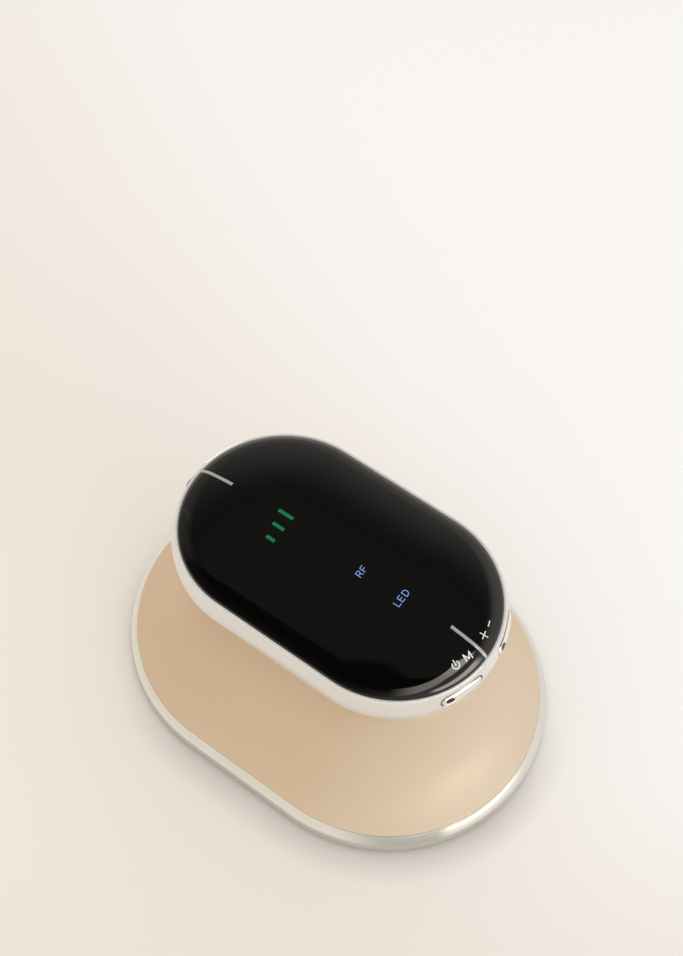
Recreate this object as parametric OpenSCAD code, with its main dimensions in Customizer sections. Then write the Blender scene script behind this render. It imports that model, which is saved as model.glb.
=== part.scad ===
// Cordless body-care device: a stadium-shaped head on a flared, waisted body.
// Its underside treats the skin, and two rocker keys sit in the trim band.
// Sizes are in millimetres. X runs along the long axis with the keys at +X,
// Z is up, and the treatment electrodes rest on z = 0 under the middle.

/* [Outline] */
// Half of the distance between the centres of the two round ends
half = 16.5; // [15.5:0.5:18]
// Radius of the round ends of the base ring
ring_r = 43.4; // [43:0.1:44]
// Radius of the round ends of the trim band
band_r = 27.6; // [27.4:0.1:28]
// Radius of the round ends of the black cover
cover_r = 25.7; // [25.5:0.1:25.8]

/* [Heights] */
// Top of the black cover
top_z = 65; // [64.5:0.1:65.5]
// Lower edge of the trim band
band_low = 52.4; // [52.2:0.1:52.6]
// Upper edge of the trim band
band_high = 59.5; // [59.4:0.05:59.6]
// Height where the flared body meets the base ring
flare_low = 6.7; // [6.5:0.1:6.9]
// How far the electrodes stand below the treatment plate
electrode_proud = 0.8; // [0.7:0.1:1]

/* [Walls] */
// Wall of the flared body
shell_wall = 2; // [1.6:0.1:2.2]
// Wall of the black cover
cover_wall = 1.6; // [1.2:0.1:1.7]
// Wall of the trim band
band_wall = 1.65; // [1.5:0.05:1.7]

/* [Rocker keys] */
// Angle of each key from the long axis, about the centre of the end
rocker_angle = 19.8; // [19:0.2:20.6]
// Length of a key along the band
rocker_len = 11.3; // [10.5:0.1:11.4]
// Height of a key
rocker_h = 3.1; // [2.8:0.1:3.2]
// Height of the middle of the keys
rocker_z = 56.6; // [56.5:0.1:56.7]
// Gap round a key in its slot
rocker_gap = 0.3; // [0.3:0.05:0.35]

/* [Treatment face] */
// Diameter of each electrode
electrode_d = 18; // [14:0.5:19]
// Places of the electrodes, plus and minus along X
electrode_x = 27; // [26:0.5:28]
// Places of the electrodes, plus and minus along Y
electrode_y = 19; // [18:0.5:20]
// Radius of the round ends of the light window
lens_r = 8.5; // [7:0.5:9]
// Half of the straight length of the light window
lens_half = 11; // [9:0.5:12]

/* [Hidden] */

$fn = 96;
eps = 0.05;
sides = [-1, 1];

// Black cover: a shallow dome, a tighter shoulder and a small edge radius
dome_r = 85;
dome_rho = 21.6;
shoulder_r = 9;
edge_r = 1.2;
dome_a = asin(dome_rho / dome_r);
dome_mid_z = top_z - dome_r;
shoulder_rho = dome_rho - shoulder_r * sin(dome_a);
shoulder_z = dome_mid_z + (dome_r - shoulder_r) * cos(dome_a);
edge_a = asin((cover_r - edge_r - shoulder_rho) / (shoulder_r - edge_r));
edge_mid_z = shoulder_z + (shoulder_r - edge_r) * cos(edge_a);
cover_low = 58.45;
skirt_r = cover_r - cover_wall;
skirt_a = asin((skirt_r - shoulder_rho) / (shoulder_r - cover_wall));
boss_x = 24;
boss_y = 12;
boss_r = 2.3;
boss_low = 58.5;
boss_high = 63;
pilot_high = 61.8;
screw_r = 1;
screw_head_r = 1.9;
pilot_r = 1.04;
clear_r = 1.15;

// Inlay strips on the long axis of the cover
inlay_in = 32.1;
inlay_w = 0.9;
inlay_deep = 0.5;
inlay_proud = 0.12;
inlay_cap_rho = 10;

// Light windows in the mask: [x, y, length along x, length along y]
bar_end_x = -13.8;
bar_w = 0.9;
bars = [[4.35, 0.4], [3.35, -3.25], [2.5, -6.9]];
words = [[7.5, -1.4, 2.8, 4.6], [19, -1.35, 2.8, 6.2]];
mask_low = 58.5;
mask_high = 62;
mask_x = [-21, 22.5];
mask_y = [-9, 5];
diffuser_in = 1;
diffuser_t = 0.3;
led_t_small = 0.6;

// Head tray, display board and gasket
tray_r = 25.8;
tray_low = 52.6;
tray_floor = 53.8;
tray_high = 57.9;
tray_wall = 1.2;
board_t = 1;
display_r = 18.6;
display_low = 57.4;
display_end = 30.2;
gasket_r = 25.5;
gasket_low = 57.95;
gasket_high = 58.4;
gasket_gap = 0.15;

// Trim band: an outer wall that leans in to a thin lip
lip_gap = 0.12;
lip_w = 0.55;
lip_round = 0.2;
lip_lean = 18;
lip_drop = 0.24;
wall_round = 8.6;
wall_round_z = 55.05;
wall_round_a = 59.5;
band_edge = 0.5;

// Rocker keys, seen from the centre of the round end
pivot_r = 22;
pin_r = 0.5;
pin_gap = 0.03;
face_proud = 0.3;
flange_in = 23;
flange_out = 25.3;
flange_len = 13;
nub_t = 4.4;
nub_in = 20.95;
keys_a = 40;
ear_t = 0.8;
ear_low = 53.85;
ear_high = 58.55;
post_r = 1.1;
switch_face = 18.6;
switch_len = 14;

// Charging socket at the other end of the band
socket_z = 55.8;
socket_w = 8.94;
socket_h = 3.26;
socket_deep = 7.3;
socket_sheet = 0.3;
socket_face = 27.35;
socket_gap = 0.12;

// Flared body: one curve from under the band, in to the waist and out to the rim
rim_r = 41.2;
neck_r = 26.9;
neck_z = 52.2;
neck_pull = [19.5, 44];
rim_pull = [22, 12];
flare_steps = 24;
rim_low = 3.3;
flange_low = 50.6;
flange_open = 15;
neck_screw_y = 19.5;
base_boss_r = 3;
base_boss_rho = 28.5;

// Inside the waist
main_r = 17;
main_low = 27;
main_t = 1.6;
stack_x = 26.8;
stack_y = 9;
battery_low = 36.5;
battery_size = [46, 30, 10];
battery_fit = 0.3;
tray_t = 1.2;

// Base
ring_low = 0.7;
ring_in = rim_r + 0.25;
ring_foot = 0.7;
ring_round = 4;
ring_wall_high = 2.9;
plate_low = electrode_proud;
plate_high = 2.8;
plate_r = 41.3;
chassis_low = 8.6;
chassis_r = 31;
led_r = 24;
led_low = 6;
led_t = 1.2;
light_half = 1.4;
light_h = 0.8;
light_step = [7, 4.6];
stem_r = 2.5;

ribbon_in = 15.6;
ribbon_out = 18.2;
ribbon_up = 7;
ribbon_w = 8;
ribbon_t = 0.3;

main_high = main_low + main_t;
battery_floor = battery_low + tray_t;

// Outline helpers

// Sweeps a profile along the stadium: x is the distance from its centre line
module sweep_outline() {
    rotate([90, 0, 90]) linear_extrude(2 * half, center = true) {
        children();
        mirror([1, 0]) children();
    }
    for (side = sides)
        translate([side * half, 0, 0]) rotate([0, 0, -90 * side])
            rotate_extrude(angle = 180) children();
}

// Flat stadium with round ends
module slot2d(half_len, r) {
    square([2 * half_len, 2 * r], center = true);
    for (side = sides) translate([side * half_len, 0]) circle(r);
}

module slab(half_len, r, low, high) {
    translate([0, 0, low]) linear_extrude(high - low) slot2d(half_len, r);
}

// Places children at an angle about the centre of the key end
module at_key(angle) {
    translate([half, 0, 0]) rotate([0, 0, angle]) children();
}

// Sector of a flat ring about the centre of the key end
module key_sector(r_in, r_out, low, high, reach) {
    at_key(-reach) translate([0, 0, low]) rotate_extrude(angle = 2 * reach)
        translate([r_in, 0]) square([r_out - r_in, high - low]);
}

module block(x0, x1, y0, y1, z0, z1) {
    translate([x0, y0, z0]) cube([x1 - x0, y1 - y0, z1 - z0]);
}

module peg(x, y, r, low, high) {
    translate([x, y, low]) cylinder(h = high - low, r = r);
}

module four_pegs(x, y, r, low, high) {
    for (sx = sides) for (sy = sides) peg(sx * x, sy * y, r, low, high);
}

// Black cover

function arc(mid_rho, mid_z, r, a0, a1, n) = [
    for (i = [0:n]) let (a = a0 + (a1 - a0) * i / n)
        [mid_rho + r * sin(a), mid_z + r * cos(a)]
];

function cover_outside(grow) = concat(
    arc(0, dome_mid_z, dome_r + grow, 0, dome_a, 10),
    arc(shoulder_rho, shoulder_z, shoulder_r + grow, dome_a + 2, edge_a, 5),
    arc(cover_r - edge_r, edge_mid_z, edge_r + grow, edge_a + 12, 90, 3)
);

function cover_inside() = concat(
    arc(0, dome_mid_z, dome_r - cover_wall, 0, dome_a, 10),
    arc(shoulder_rho, shoulder_z, shoulder_r - cover_wall, dome_a + 3, skirt_a, 4)
);

function backwards(list) = [for (i = [len(list) - 1:-1:0]) list[i]];

module cover_profile() {
    polygon(concat(
        cover_outside(0),
        [[cover_r, cover_low], [skirt_r, cover_low]],
        backwards(cover_inside())
    ));
}

// The body of an inlay strip: a band under the dome's surface, on the long axis
module inlay_slab(w, deep, proud) {
    rotate([90, 0, 0]) linear_extrude(w, center = true) polygon(concat(
        [for (p = cover_outside(proud)) if (p[0] + half > inlay_in) [p[0] + half, p[1]]],
        [for (p = backwards(cover_outside(-deep))) if (p[0] + half > inlay_in)
            [p[0] + half, p[1]]]
    ));
    intersection() {
        translate([inlay_in, 0, 0]) cylinder(h = top_z, r = w / 2);
        rotate([90, 0, 0]) linear_extrude(w, center = true) polygon(concat(
            [for (p = cover_outside(proud)) if (p[0] > inlay_cap_rho) [p[0] + half, p[1]]],
            [for (p = backwards(cover_outside(-deep))) if (p[0] > inlay_cap_rho)
                [p[0] + half, p[1]]]
        ));
    }
}

module top_cover() color("#131211") difference() {
    union() {
        sweep_outline() cover_profile();
        four_pegs(boss_x, boss_y, boss_r, boss_low, boss_high);
    }
    four_pegs(boss_x, boss_y, pilot_r, boss_low - 1, pilot_high);
    for (turn = [0, 180]) rotate([0, 0, turn]) inlay_slab(inlay_w + 0.1, inlay_deep + eps, 1);
}

module key_end_inlay() color("#c9c4bb") inlay_slab(inlay_w, inlay_deep, inlay_proud);

module socket_end_inlay() color("#c9c4bb") rotate([0, 0, 180])
    inlay_slab(inlay_w, inlay_deep, inlay_proud);

// Display under the cover

module light_mask() color("#1d1d1d") difference() {
    block(mask_x[0], mask_x[1], mask_y[0], mask_y[1], mask_low, mask_high);
    for (b = bars)
        block(bar_end_x - b[0], bar_end_x, b[1] - bar_w / 2, b[1] + bar_w / 2,
            mask_low - 1, mask_high + 1);
    for (w = words)
        block(w[0] - w[2] / 2, w[0] + w[2] / 2, w[1] - w[3] / 2, w[1] + w[3] / 2,
            mask_low - 1, mask_high + 1);
}

module display_diffuser() color("#e8eef2") block(
    mask_x[0] + diffuser_in, mask_x[1] - diffuser_in,
    mask_y[0] + diffuser_in, mask_y[1] - diffuser_in, mask_high, mask_high + diffuser_t
);

module display_board() color("#1f4d36") difference() {
    intersection() {
        slab(half, display_r, display_low, display_low + board_t);
        block(-50, display_end, -30, 30, 50, 60);
    }
    four_pegs(boss_x, boss_y, clear_r, 50, 60);
}

module display_leds() color("#f4efd8") {
    top = display_low + board_t;
    for (b = bars) for (k = [0.3, 0.7])
        block(bar_end_x - b[0] * k - 0.4, bar_end_x - b[0] * k + 0.4, b[1] - 0.4, b[1] + 0.4,
            top, top + led_t_small);
    for (w = words) for (k = sides)
        block(w[0] - 0.8, w[0] + 0.8, w[1] + k * 1.5 - 0.4, w[1] + k * 1.5 + 0.4,
            top, top + led_t_small);
}

// Open at the keys, which pass under the cover there
module cover_gasket() color("#2b2b2b") difference() {
    sweep_outline() translate([skirt_r + gasket_gap, gasket_low])
        square([gasket_r - skirt_r - gasket_gap, gasket_high - gasket_low]);
    key_sector(20, 30, gasket_low - 1, gasket_high + 1, keys_a);
}

module cover_screws() color("#9a9a9a") {
    four_pegs(boss_x, boss_y, screw_r, tray_floor - 0.3, 61.4);
    four_pegs(boss_x, boss_y, screw_head_r, tray_low + 0.1, tray_floor - 0.3);
}

// Trim band with its rounded lip, key slots and socket opening
module band_profile() {
    inner = band_r - band_wall;
    lip = cover_r + lip_gap;
    polygon(concat(
        [[inner, band_low + 0.3], [inner + 0.3, band_low], [band_r - band_edge, band_low]],
        arc(band_r - band_edge, band_low + band_edge, band_edge, 150, 90, 3),
        arc(band_r - wall_round, wall_round_z, wall_round, 90, wall_round_a, 6),
        arc(lip + lip_w - lip_round, band_high - lip_round, lip_round, 70, -lip_lean, 4),
        [[lip, band_high - lip_drop], [lip, gasket_high], [inner, gasket_high - 0.2]]
    ));
}

module trim_band() color("#d6d2ca") difference() {
    sweep_outline() band_profile();
    for (side = sides) at_key(side * rocker_angle) translate([24, 0, rocker_z])
        rotate([90, 0, 90]) linear_extrude(6)
            slot2d((rocker_len - rocker_h) / 2 + 0.1, rocker_h / 2 + rocker_gap);
    translate([-half - 30, 0, socket_z]) rotate([90, 0, 90]) linear_extrude(6)
        slot2d((socket_w - socket_h) / 2, socket_h / 2 + socket_gap);
}

// Tray that carries the band, the cover and the display
module head_tray() color("#4a4a4a") difference() {
    union() {
        slab(half, tray_r, tray_low, tray_floor);
        difference() {
            sweep_outline() translate([tray_r - tray_wall, tray_floor - eps])
                square([tray_wall, tray_high - tray_floor + eps]);
            key_sector(20, 30, tray_floor, 60, keys_a + 2);
            block(-half - 30, -half - 20, -5.2, 5.2, tray_floor, 60);
        }
        four_pegs(boss_x, boss_y, boss_r, tray_floor - eps, display_low);
        four_pegs(half, neck_screw_y, 2.2, tray_floor - eps, tray_high - 1);
    }
    slab(10, 8, 50, 60);
    four_pegs(boss_x, boss_y, clear_r, 50, 60);
    four_pegs(boss_x, boss_y, screw_head_r + 0.1, 50, tray_floor - 0.3);
    four_pegs(half, neck_screw_y, pilot_r, 50, tray_high - 2);
}

// Rocker keys

// Outer face of the keys: the wall of the band, moved outwards
module face_profile() {
    polygon(concat(
        [[pivot_r, band_low], [band_r + face_proud, band_low]],
        arc(band_r - wall_round, wall_round_z, wall_round + face_proud, 90, wall_round_a, 6),
        [[pivot_r, band_high]]
    ));
}

module rocker_shape() {
    low = rocker_z - rocker_h / 2;
    intersection() {
        translate([flange_in, 0, rocker_z]) rotate([90, 0, 90]) linear_extrude(7)
            slot2d((rocker_len - rocker_h) / 2, rocker_h / 2);
        rotate([0, 0, -keys_a]) rotate_extrude(angle = 2 * keys_a) face_profile();
    }
    intersection() {
        block(flange_in, flange_out + 1, -flange_len / 2, flange_len / 2, low, low + rocker_h);
        translate([0, 0, low - 1]) cylinder(h = rocker_h + 2, r = flange_out);
    }
    peg(pivot_r, 0, 1.5, low, low + rocker_h);
    block(pivot_r, flange_in + eps, -1.5, 1.5, low, low + rocker_h);
    for (side = sides)
        block(nub_in, flange_in + eps, side * nub_t - 0.6, side * nub_t + 0.6,
            rocker_z - 0.6, rocker_z + 0.6);
}

module rocker(angle) at_key(angle) difference() {
    rocker_shape();
    peg(pivot_r, 0, pin_r + pin_gap, rocker_z - 5, rocker_z + 5);
}

module power_mode_key() color("#d6d2ca") rocker(-rocker_angle);

module plus_minus_key() color("#d6d2ca") rocker(rocker_angle);

module rocker_pins() color("#8f9296") for (side = sides)
    at_key(side * rocker_angle) peg(pivot_r, 0, pin_r, ear_low + 0.1, ear_high + ear_t - 0.1);

module rocker_carrier() color("#3a3a3a") difference() {
    union() {
        key_sector(17, 25.4, ear_low, ear_low + ear_t, keys_a);
        key_sector(19.5, 23.6, ear_high, ear_high + ear_t, keys_a);
        at_key(0) peg(21.6, 0, post_r, ear_low, ear_high + 0.1);
        for (side = sides) at_key(side * 38.5) peg(22.3, 0, post_r, ear_low, ear_high + 0.1);
    }
    for (side = sides) at_key(side * rocker_angle) peg(pivot_r, 0, pin_r + 0.02, 50, 60);
}

module switch_boards() color("#1f4d36") for (side = sides) at_key(side * rocker_angle)
    block(switch_face - 1, switch_face, -switch_len / 2 + (1 - side) * 0.6,
        switch_len / 2 - (1 + side) * 0.6, ear_low + ear_t, ear_high - 0.2);

module tact_switches() color("#c8c8c8") for (side = sides) for (k = sides)
    at_key(side * rocker_angle) {
        block(switch_face, switch_face + 1.5, k * nub_t - 1.5, k * nub_t + 1.5,
            rocker_z - 1.5, rocker_z + 1.5);
        translate([switch_face + 1.4, k * nub_t, rocker_z]) rotate([0, 90, 0])
            cylinder(h = 0.7, r = 0.7);
    }

// Charging socket

module socket_shell() color("#b9bcbf")
    translate([-half - socket_face, 0, socket_z]) rotate([90, 0, 90])
        linear_extrude(socket_deep) difference() {
            slot2d((socket_w - socket_h) / 2, socket_h / 2);
            slot2d((socket_w - socket_h) / 2, socket_h / 2 - socket_sheet);
        }

module socket_tongue() color("#222222") {
    x0 = -half - socket_face;
    block(x0 + 0.8, x0 + socket_deep - 1, -3.3, 3.3, socket_z - 0.35, socket_z + 0.35);
    translate([x0 + socket_deep - 1, 0, socket_z]) rotate([90, 0, 90]) linear_extrude(0.9)
        slot2d((socket_w - socket_h) / 2, socket_h / 2 - socket_sheet - 0.02);
}

module socket_board() color("#1f4d36")
    block(-half - 24.3, -half - 12, -5, 5, tray_floor, socket_z - socket_h / 2 - 0.02);

// Flared body

function flare(t) = pow(1 - t, 3) * [neck_r, neck_z] + 3 * pow(1 - t, 2) * t * neck_pull
    + 3 * (1 - t) * t * t * rim_pull + pow(t, 3) * [rim_r, flare_low];

function flare_way(t) = 3 * pow(1 - t, 2) * (neck_pull - [neck_r, neck_z])
    + 6 * (1 - t) * t * (rim_pull - neck_pull) + 3 * t * t * ([rim_r, flare_low] - rim_pull);

// Point of the curve moved inwards by a wall
function flare_in(t, wall) = let (d = flare_way(t), n = norm(d))
    flare(t) + wall * [d[1], -d[0]] / n;

module body_shell() color("#d2b48f") difference() {
    sweep_outline() polygon(concat(
        [[0, neck_z]],
        [for (i = [0:flare_steps]) flare(i / flare_steps)],
        [[rim_r, rim_low], [0, rim_low]]
    ));
    difference() {
        sweep_outline() polygon(concat(
            [[0, flange_low], [flare_in(0.06, shell_wall)[0], flange_low]],
            [for (i = [2:flare_steps - 1]) if (flare_in(i / flare_steps, shell_wall)[1]
                < flange_low - 0.4) flare_in(i / flare_steps, shell_wall)],
            [[rim_r - shell_wall, rim_low + 1.6], [rim_r - shell_wall, rim_low - 1],
                [0, rim_low - 1]]
        ));
        for (side = sides) {
            peg(side * (half + base_boss_rho), 0, base_boss_r, rim_low, 30);
            peg(0, side * base_boss_rho, base_boss_r, rim_low, 30);
        }
    }
    slab(half, flange_open, 45, 60);
    four_pegs(half, neck_screw_y, clear_r, 45, 60);
    for (side = sides) {
        peg(side * (half + base_boss_rho), 0, pilot_r, rim_low - 1, 13);
        peg(0, side * base_boss_rho, pilot_r, rim_low - 1, 13);
    }
}

module neck_screws() color("#9a9a9a") {
    four_pegs(half, neck_screw_y, screw_r, flange_low - 0.1, tray_high - 2.4);
    four_pegs(half, neck_screw_y, screw_head_r, flange_low - 1.4, flange_low - 0.05);
}

// Battery and main board in the waist

module battery_tray() color("#5a5a5a") {
    grow = battery_fit + tray_t;
    x = battery_size[0] / 2;
    y = battery_size[1] / 2;
    difference() {
        block(-29.5, 29.5, -12, 12, battery_low, battery_floor);
        four_pegs(stack_x, stack_y, clear_r, 30, 50);
    }
    difference() {
        block(-x - grow, x + grow, -y - grow, y + grow, battery_low, battery_floor + 6);
        block(-x - battery_fit, x + battery_fit, -y - battery_fit, y + battery_fit,
            battery_floor, 60);
        block(x - 2, x + 5, -4, 4, battery_floor + 3, 60);
    }
}

module battery_pack() color("#3f6fa8") translate([0, 0, battery_floor + 0.1])
    rotate([90, 0, 90]) linear_extrude(battery_size[0], center = true)
        translate([0, battery_size[2] / 2])
            slot2d((battery_size[1] - battery_size[2]) / 2, battery_size[2] / 2);

module battery_pad() color("#2b2b2b")
    block(-18, 18, -10, 10, battery_floor + battery_size[2] + 0.1, flange_low - 1.6);

module board_screws() color("#9a9a9a") {
    four_pegs(stack_x, stack_y, screw_r, 22, battery_floor + 0.05);
    four_pegs(stack_x, stack_y, screw_head_r, battery_floor, battery_floor + 1.3);
}

module board_standoffs() color("#b8954a") difference() {
    four_pegs(stack_x, stack_y, boss_r, main_high, battery_low);
    four_pegs(stack_x, stack_y, clear_r, 20, 40);
}

module main_board() color("#1f4d36") difference() {
    slab(half, main_r, main_low, main_high);
    four_pegs(stack_x, stack_y, clear_r, 20, 40);
}

module rf_transformer() color("#4b4640") {
    block(-21, -6, -7, 7, main_high, main_high + 2);
    block(-21, -18.5, -7, 7, main_high, main_high + 7);
    block(-8.5, -6, -7, 7, main_high, main_high + 7);
    translate([-18.5, 0, main_high + 4.6]) rotate([0, 90, 0]) cylinder(h = 10, r = 2.4);
}

module output_inductors() color("#a8672f") for (side = sides)
    translate([4, side * 8.5, main_high + 2.3]) rotate_extrude()
        translate([4, 0]) circle(2.2);

module board_capacitors() color("#26324a") for (i = [0:2])
    peg(13.5, (i - 1) * 6.6, 2.9, main_high, main_high + 7);

module control_chips() color("#1a1a1a") {
    block(18, 25, -3.5, 3.5, main_high, main_high + 1.2);
    block(-3, 3, -2, 2, main_high, main_high + 1.4);
    block(-8, 2, 4, 11, main_low - 1.2, main_low);
}

module buzzer() color("#202020") difference() {
    peg(18, -7, 4.5, main_low - 4, main_low);
    peg(18, -7, 0.8, main_low - 5, main_low - 3);
}

// Leads and ribbon

// Round lead through a list of points
module lead(points, r) {
    n = 8;
    last = len(points) - 1;
    rings = [for (i = [0:last]) let (
        way = points[min(i + 1, last)] - points[max(i - 1, 0)],
        d = way / norm(way),
        a = cross(d, [0, 1, 0.01]),
        u = a / norm(a),
        v = cross(d, u)
    ) for (k = [0:n - 1]) points[i] + r * (u * cos(360 * k / n) + v * sin(360 * k / n))];
    polyhedron(rings, concat(
        [[for (k = [0:n - 1]) k]],
        [for (i = [0:last - 1]) for (k = [0:n - 1]) let (b = i * n, m = (k + 1) % n)
            [b + k, b + n + k, b + n + m, b + m]],
        [[for (k = [0:n - 1]) last * n + n - 1 - k]]
    ));
}

// Smooth lead that starts and ends upright or level, from a to b
function lead_path(a, a_pull, b_pull, b) = [for (i = [0:12]) let (t = i / 12)
    pow(1 - t, 3) * a + 3 * pow(1 - t, 2) * t * a_pull + 3 * (1 - t) * t * t * b_pull
        + pow(t, 3) * b];

// Flat ribbon from the main board, past the battery and up to the display board
module head_ribbon() color("#d8c690") {
    way = [
        [ribbon_in, main_high], [ribbon_in, main_high + 0.6], [ribbon_out, main_high + 1.4],
        [ribbon_out, 47.4], [ribbon_up, 51.2], [ribbon_up, display_low]
    ];
    rotate([90, 0, 90]) linear_extrude(ribbon_w, center = true) polygon(concat(
        way, [for (p = backwards(way)) p + [ribbon_t, 0]]
    ));
}

module battery_leads() color("#b3261e") for (side = sides)
    lead(lead_path([23.6, side * 2, 43], [30, side * 2, 43], [31.8, side * 2, 36],
        [30.2, side * 2, main_high + 0.1]), 0.6);

module electrode_leads() color("#b9b9b9") for (sx = sides) for (sy = sides)
    lead(lead_path([sx * 12, sy * 13, main_low - 0.1], [sx * 12, sy * 13, 19],
        [sx * 21, sy * 14, 16], [sx * 21, sy * 14, chassis_low - 1.3]), 0.6);

// Base

module inner_chassis() color("#5a5a5a") difference() {
    union() {
        slab(half, chassis_r, chassis_low, chassis_low + tray_t);
        four_pegs(stack_x, stack_y, 2.6, chassis_low, main_low);
        for (side = sides) block(side * stack_x - 0.8, side * stack_x + 0.8, -stack_y, stack_y,
            chassis_low, 20);
    }
    four_pegs(stack_x, stack_y, pilot_r, 20, 40);
    four_pegs(21, 14, 1.5, 5, 12);
    for (side = sides) {
        peg(side * (half + base_boss_rho), 0, base_boss_r + 0.3, 5, 12);
        peg(0, side * base_boss_rho, base_boss_r + 0.3, 5, 12);
    }
}

module led_board() color("#e9e9e4") slab(half, led_r, led_low, led_low + led_t);

module treatment_leds() color("#f2d36b") for (i = [-2:2]) for (j = [-1:1])
    block(i * light_step[0] - light_half, i * light_step[0] + light_half,
        j * light_step[1] - light_half, j * light_step[1] + light_half,
        led_low - light_h, led_low);

// The ring's section: a low upright wall, rounded over to the edge of the body
module ring_profile() {
    polygon(concat(
        [[ring_in, ring_low], [ring_r - ring_foot * 0.7, ring_low]],
        arc(ring_r - ring_foot, ring_low + ring_foot, ring_foot, 150, 90, 4),
        arc(ring_r - ring_round, ring_wall_high, ring_round, 90,
            asin((ring_in - ring_r + ring_round) / ring_round), 8)
    ));
}

module base_ring() color("#c4bcae") sweep_outline() ring_profile();

module base_gasket() color("#2b2b2b") sweep_outline()
    translate([rim_r - shell_wall + 0.2, plate_high + 0.05])
        square([shell_wall - 0.4, rim_low - plate_high - 0.1]);

module treatment_plate() color("#ece7df") difference() {
    union() {
        slab(half, plate_r, plate_low, plate_high);
        four_pegs(half, 15.5, 2, plate_high - eps, led_low);
    }
    slab(lens_half, lens_r, 0, 5);
    four_pegs(electrode_x, electrode_y, stem_r + 0.1, 0, 5);
    four_pegs(electrode_x, electrode_y, electrode_d / 2 + 0.1, 0, plate_low + 0.9);
    peg(0, 14, 2.1, 0, 5);
    for (side = sides) {
        peg(side * (half + base_boss_rho), 0, clear_r, 0, 5);
        peg(0, side * base_boss_rho, clear_r, 0, 5);
        peg(side * (half + base_boss_rho), 0, screw_head_r + 0.2, 0, plate_low + 1.2);
        peg(0, side * base_boss_rho, screw_head_r + 0.2, 0, plate_low + 1.2);
    }
}

module led_lens() color("#f3e9e4") {
    slab(lens_half, lens_r - 0.1, plate_low, plate_high);
    slab(lens_half + 1, lens_r + 0.9, plate_high + 0.02, plate_high + 0.7);
}

module rf_electrodes() color("#c8cacc") for (sx = sides) for (sy = sides)
    translate([sx * electrode_x, sy * electrode_y, 0]) rotate_extrude() polygon(concat(
        [[0, 0]],
        [for (a = [0:15:90]) [electrode_d / 2 - 0.7 + 0.7 * sin(a), 0.7 - 0.7 * cos(a)]],
        [[electrode_d / 2, plate_low + 0.85], [stem_r, plate_low + 0.85], [stem_r, 3.4],
            [0, 3.4]]
    ));

module electrode_springs() color("#c9a24b") for (sx = sides) for (sy = sides)
    translate([sx * electrode_x, sy * electrode_y, 3.4]) difference() {
        cylinder(h = led_low - 3.4, r = 1.8);
        translate([0, 0, 0.3]) cylinder(h = led_low - 4, r = 1.2);
    }

module temperature_sensor() color("#bfc2c5") {
    peg(0, 14, 2, plate_low - 0.3, plate_high + 0.5);
    peg(0, 14, 1.2, plate_high, led_low);
}

module base_screws() color("#9a9a9a") for (side = sides) {
    for (place = [[side * (half + base_boss_rho), 0], [0, side * base_boss_rho]]) {
        peg(place[0], place[1], screw_head_r, plate_low + 0.15, plate_low + 1.15);
        peg(place[0], place[1], screw_r, plate_low + 1.1, 12);
    }
}

top_cover();
key_end_inlay();
socket_end_inlay();
light_mask();
display_diffuser();
display_board();
display_leds();
cover_gasket();
cover_screws();
trim_band();
head_tray();
power_mode_key();
plus_minus_key();
rocker_pins();
rocker_carrier();
switch_boards();
tact_switches();
socket_shell();
socket_tongue();
socket_board();
body_shell();
neck_screws();
battery_tray();
battery_pack();
battery_pad();
board_screws();
board_standoffs();
main_board();
rf_transformer();
output_inductors();
board_capacitors();
control_chips();
buzzer();
head_ribbon();
battery_leads();
electrode_leads();
inner_chassis();
led_board();
treatment_leds();
base_ring();
base_gasket();
treatment_plate();
led_lens();
rf_electrodes();
electrode_springs();
temperature_sensor();
base_screws();
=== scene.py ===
# %% [markdown]
# A cordless body-care device, dressed in Blender
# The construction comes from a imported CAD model, which stays exactly where it is. This file gives
# it its looks: smooth shells, marks, finishes, a pale studio and a camera. Each step is a cell,
# and each cell first says what the piece is and why it is made the way it is.

import math

import bmesh
import bpy
from mathutils import Matrix, Vector


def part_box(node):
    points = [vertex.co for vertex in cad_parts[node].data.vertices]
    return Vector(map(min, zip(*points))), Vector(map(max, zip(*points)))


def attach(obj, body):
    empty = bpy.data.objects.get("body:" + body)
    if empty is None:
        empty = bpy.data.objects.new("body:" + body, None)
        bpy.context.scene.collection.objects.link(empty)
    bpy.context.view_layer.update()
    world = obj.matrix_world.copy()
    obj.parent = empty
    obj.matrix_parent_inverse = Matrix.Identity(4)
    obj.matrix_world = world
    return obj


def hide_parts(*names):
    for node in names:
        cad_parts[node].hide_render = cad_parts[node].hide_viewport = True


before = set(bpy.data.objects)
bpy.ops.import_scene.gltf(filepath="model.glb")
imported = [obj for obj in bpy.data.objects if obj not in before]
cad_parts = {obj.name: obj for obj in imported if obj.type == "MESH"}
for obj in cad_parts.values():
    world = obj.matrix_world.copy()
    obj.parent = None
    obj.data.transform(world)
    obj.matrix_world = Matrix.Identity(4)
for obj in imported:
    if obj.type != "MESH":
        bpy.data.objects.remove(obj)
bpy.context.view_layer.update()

# %% [markdown]
# Driving sizes
# The outline of every shell is a stadium: two half circles joined by straight sides. Three radii
# and one half length drive them all, so they are read from the CAD nodes and never typed twice.

# %% Read the driving sizes
MM = 0.001


def node_box(node):
    """Lowest and highest corner of a CAD node, in millimetres."""
    low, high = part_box(node)
    return low / MM, high / MM


ring_box = node_box("base_ring")
band_box = node_box("trim_band")
cover_box = node_box("top_cover")
ring_r = round(ring_box[1].y, 1)
band_r = round(band_box[1].y, 1)
cover_r = round(cover_box[1].y, 1)
half = round(ring_box[1].x - ring_r, 1)
top_z = round(cover_box[1].z, 1)
band_low = round(band_box[0].z, 1)
band_high = round(band_box[1].z, 1)
print("half length", half, "ring", ring_r, "band", band_r, "cover", cover_r, "top", top_z)

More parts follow.
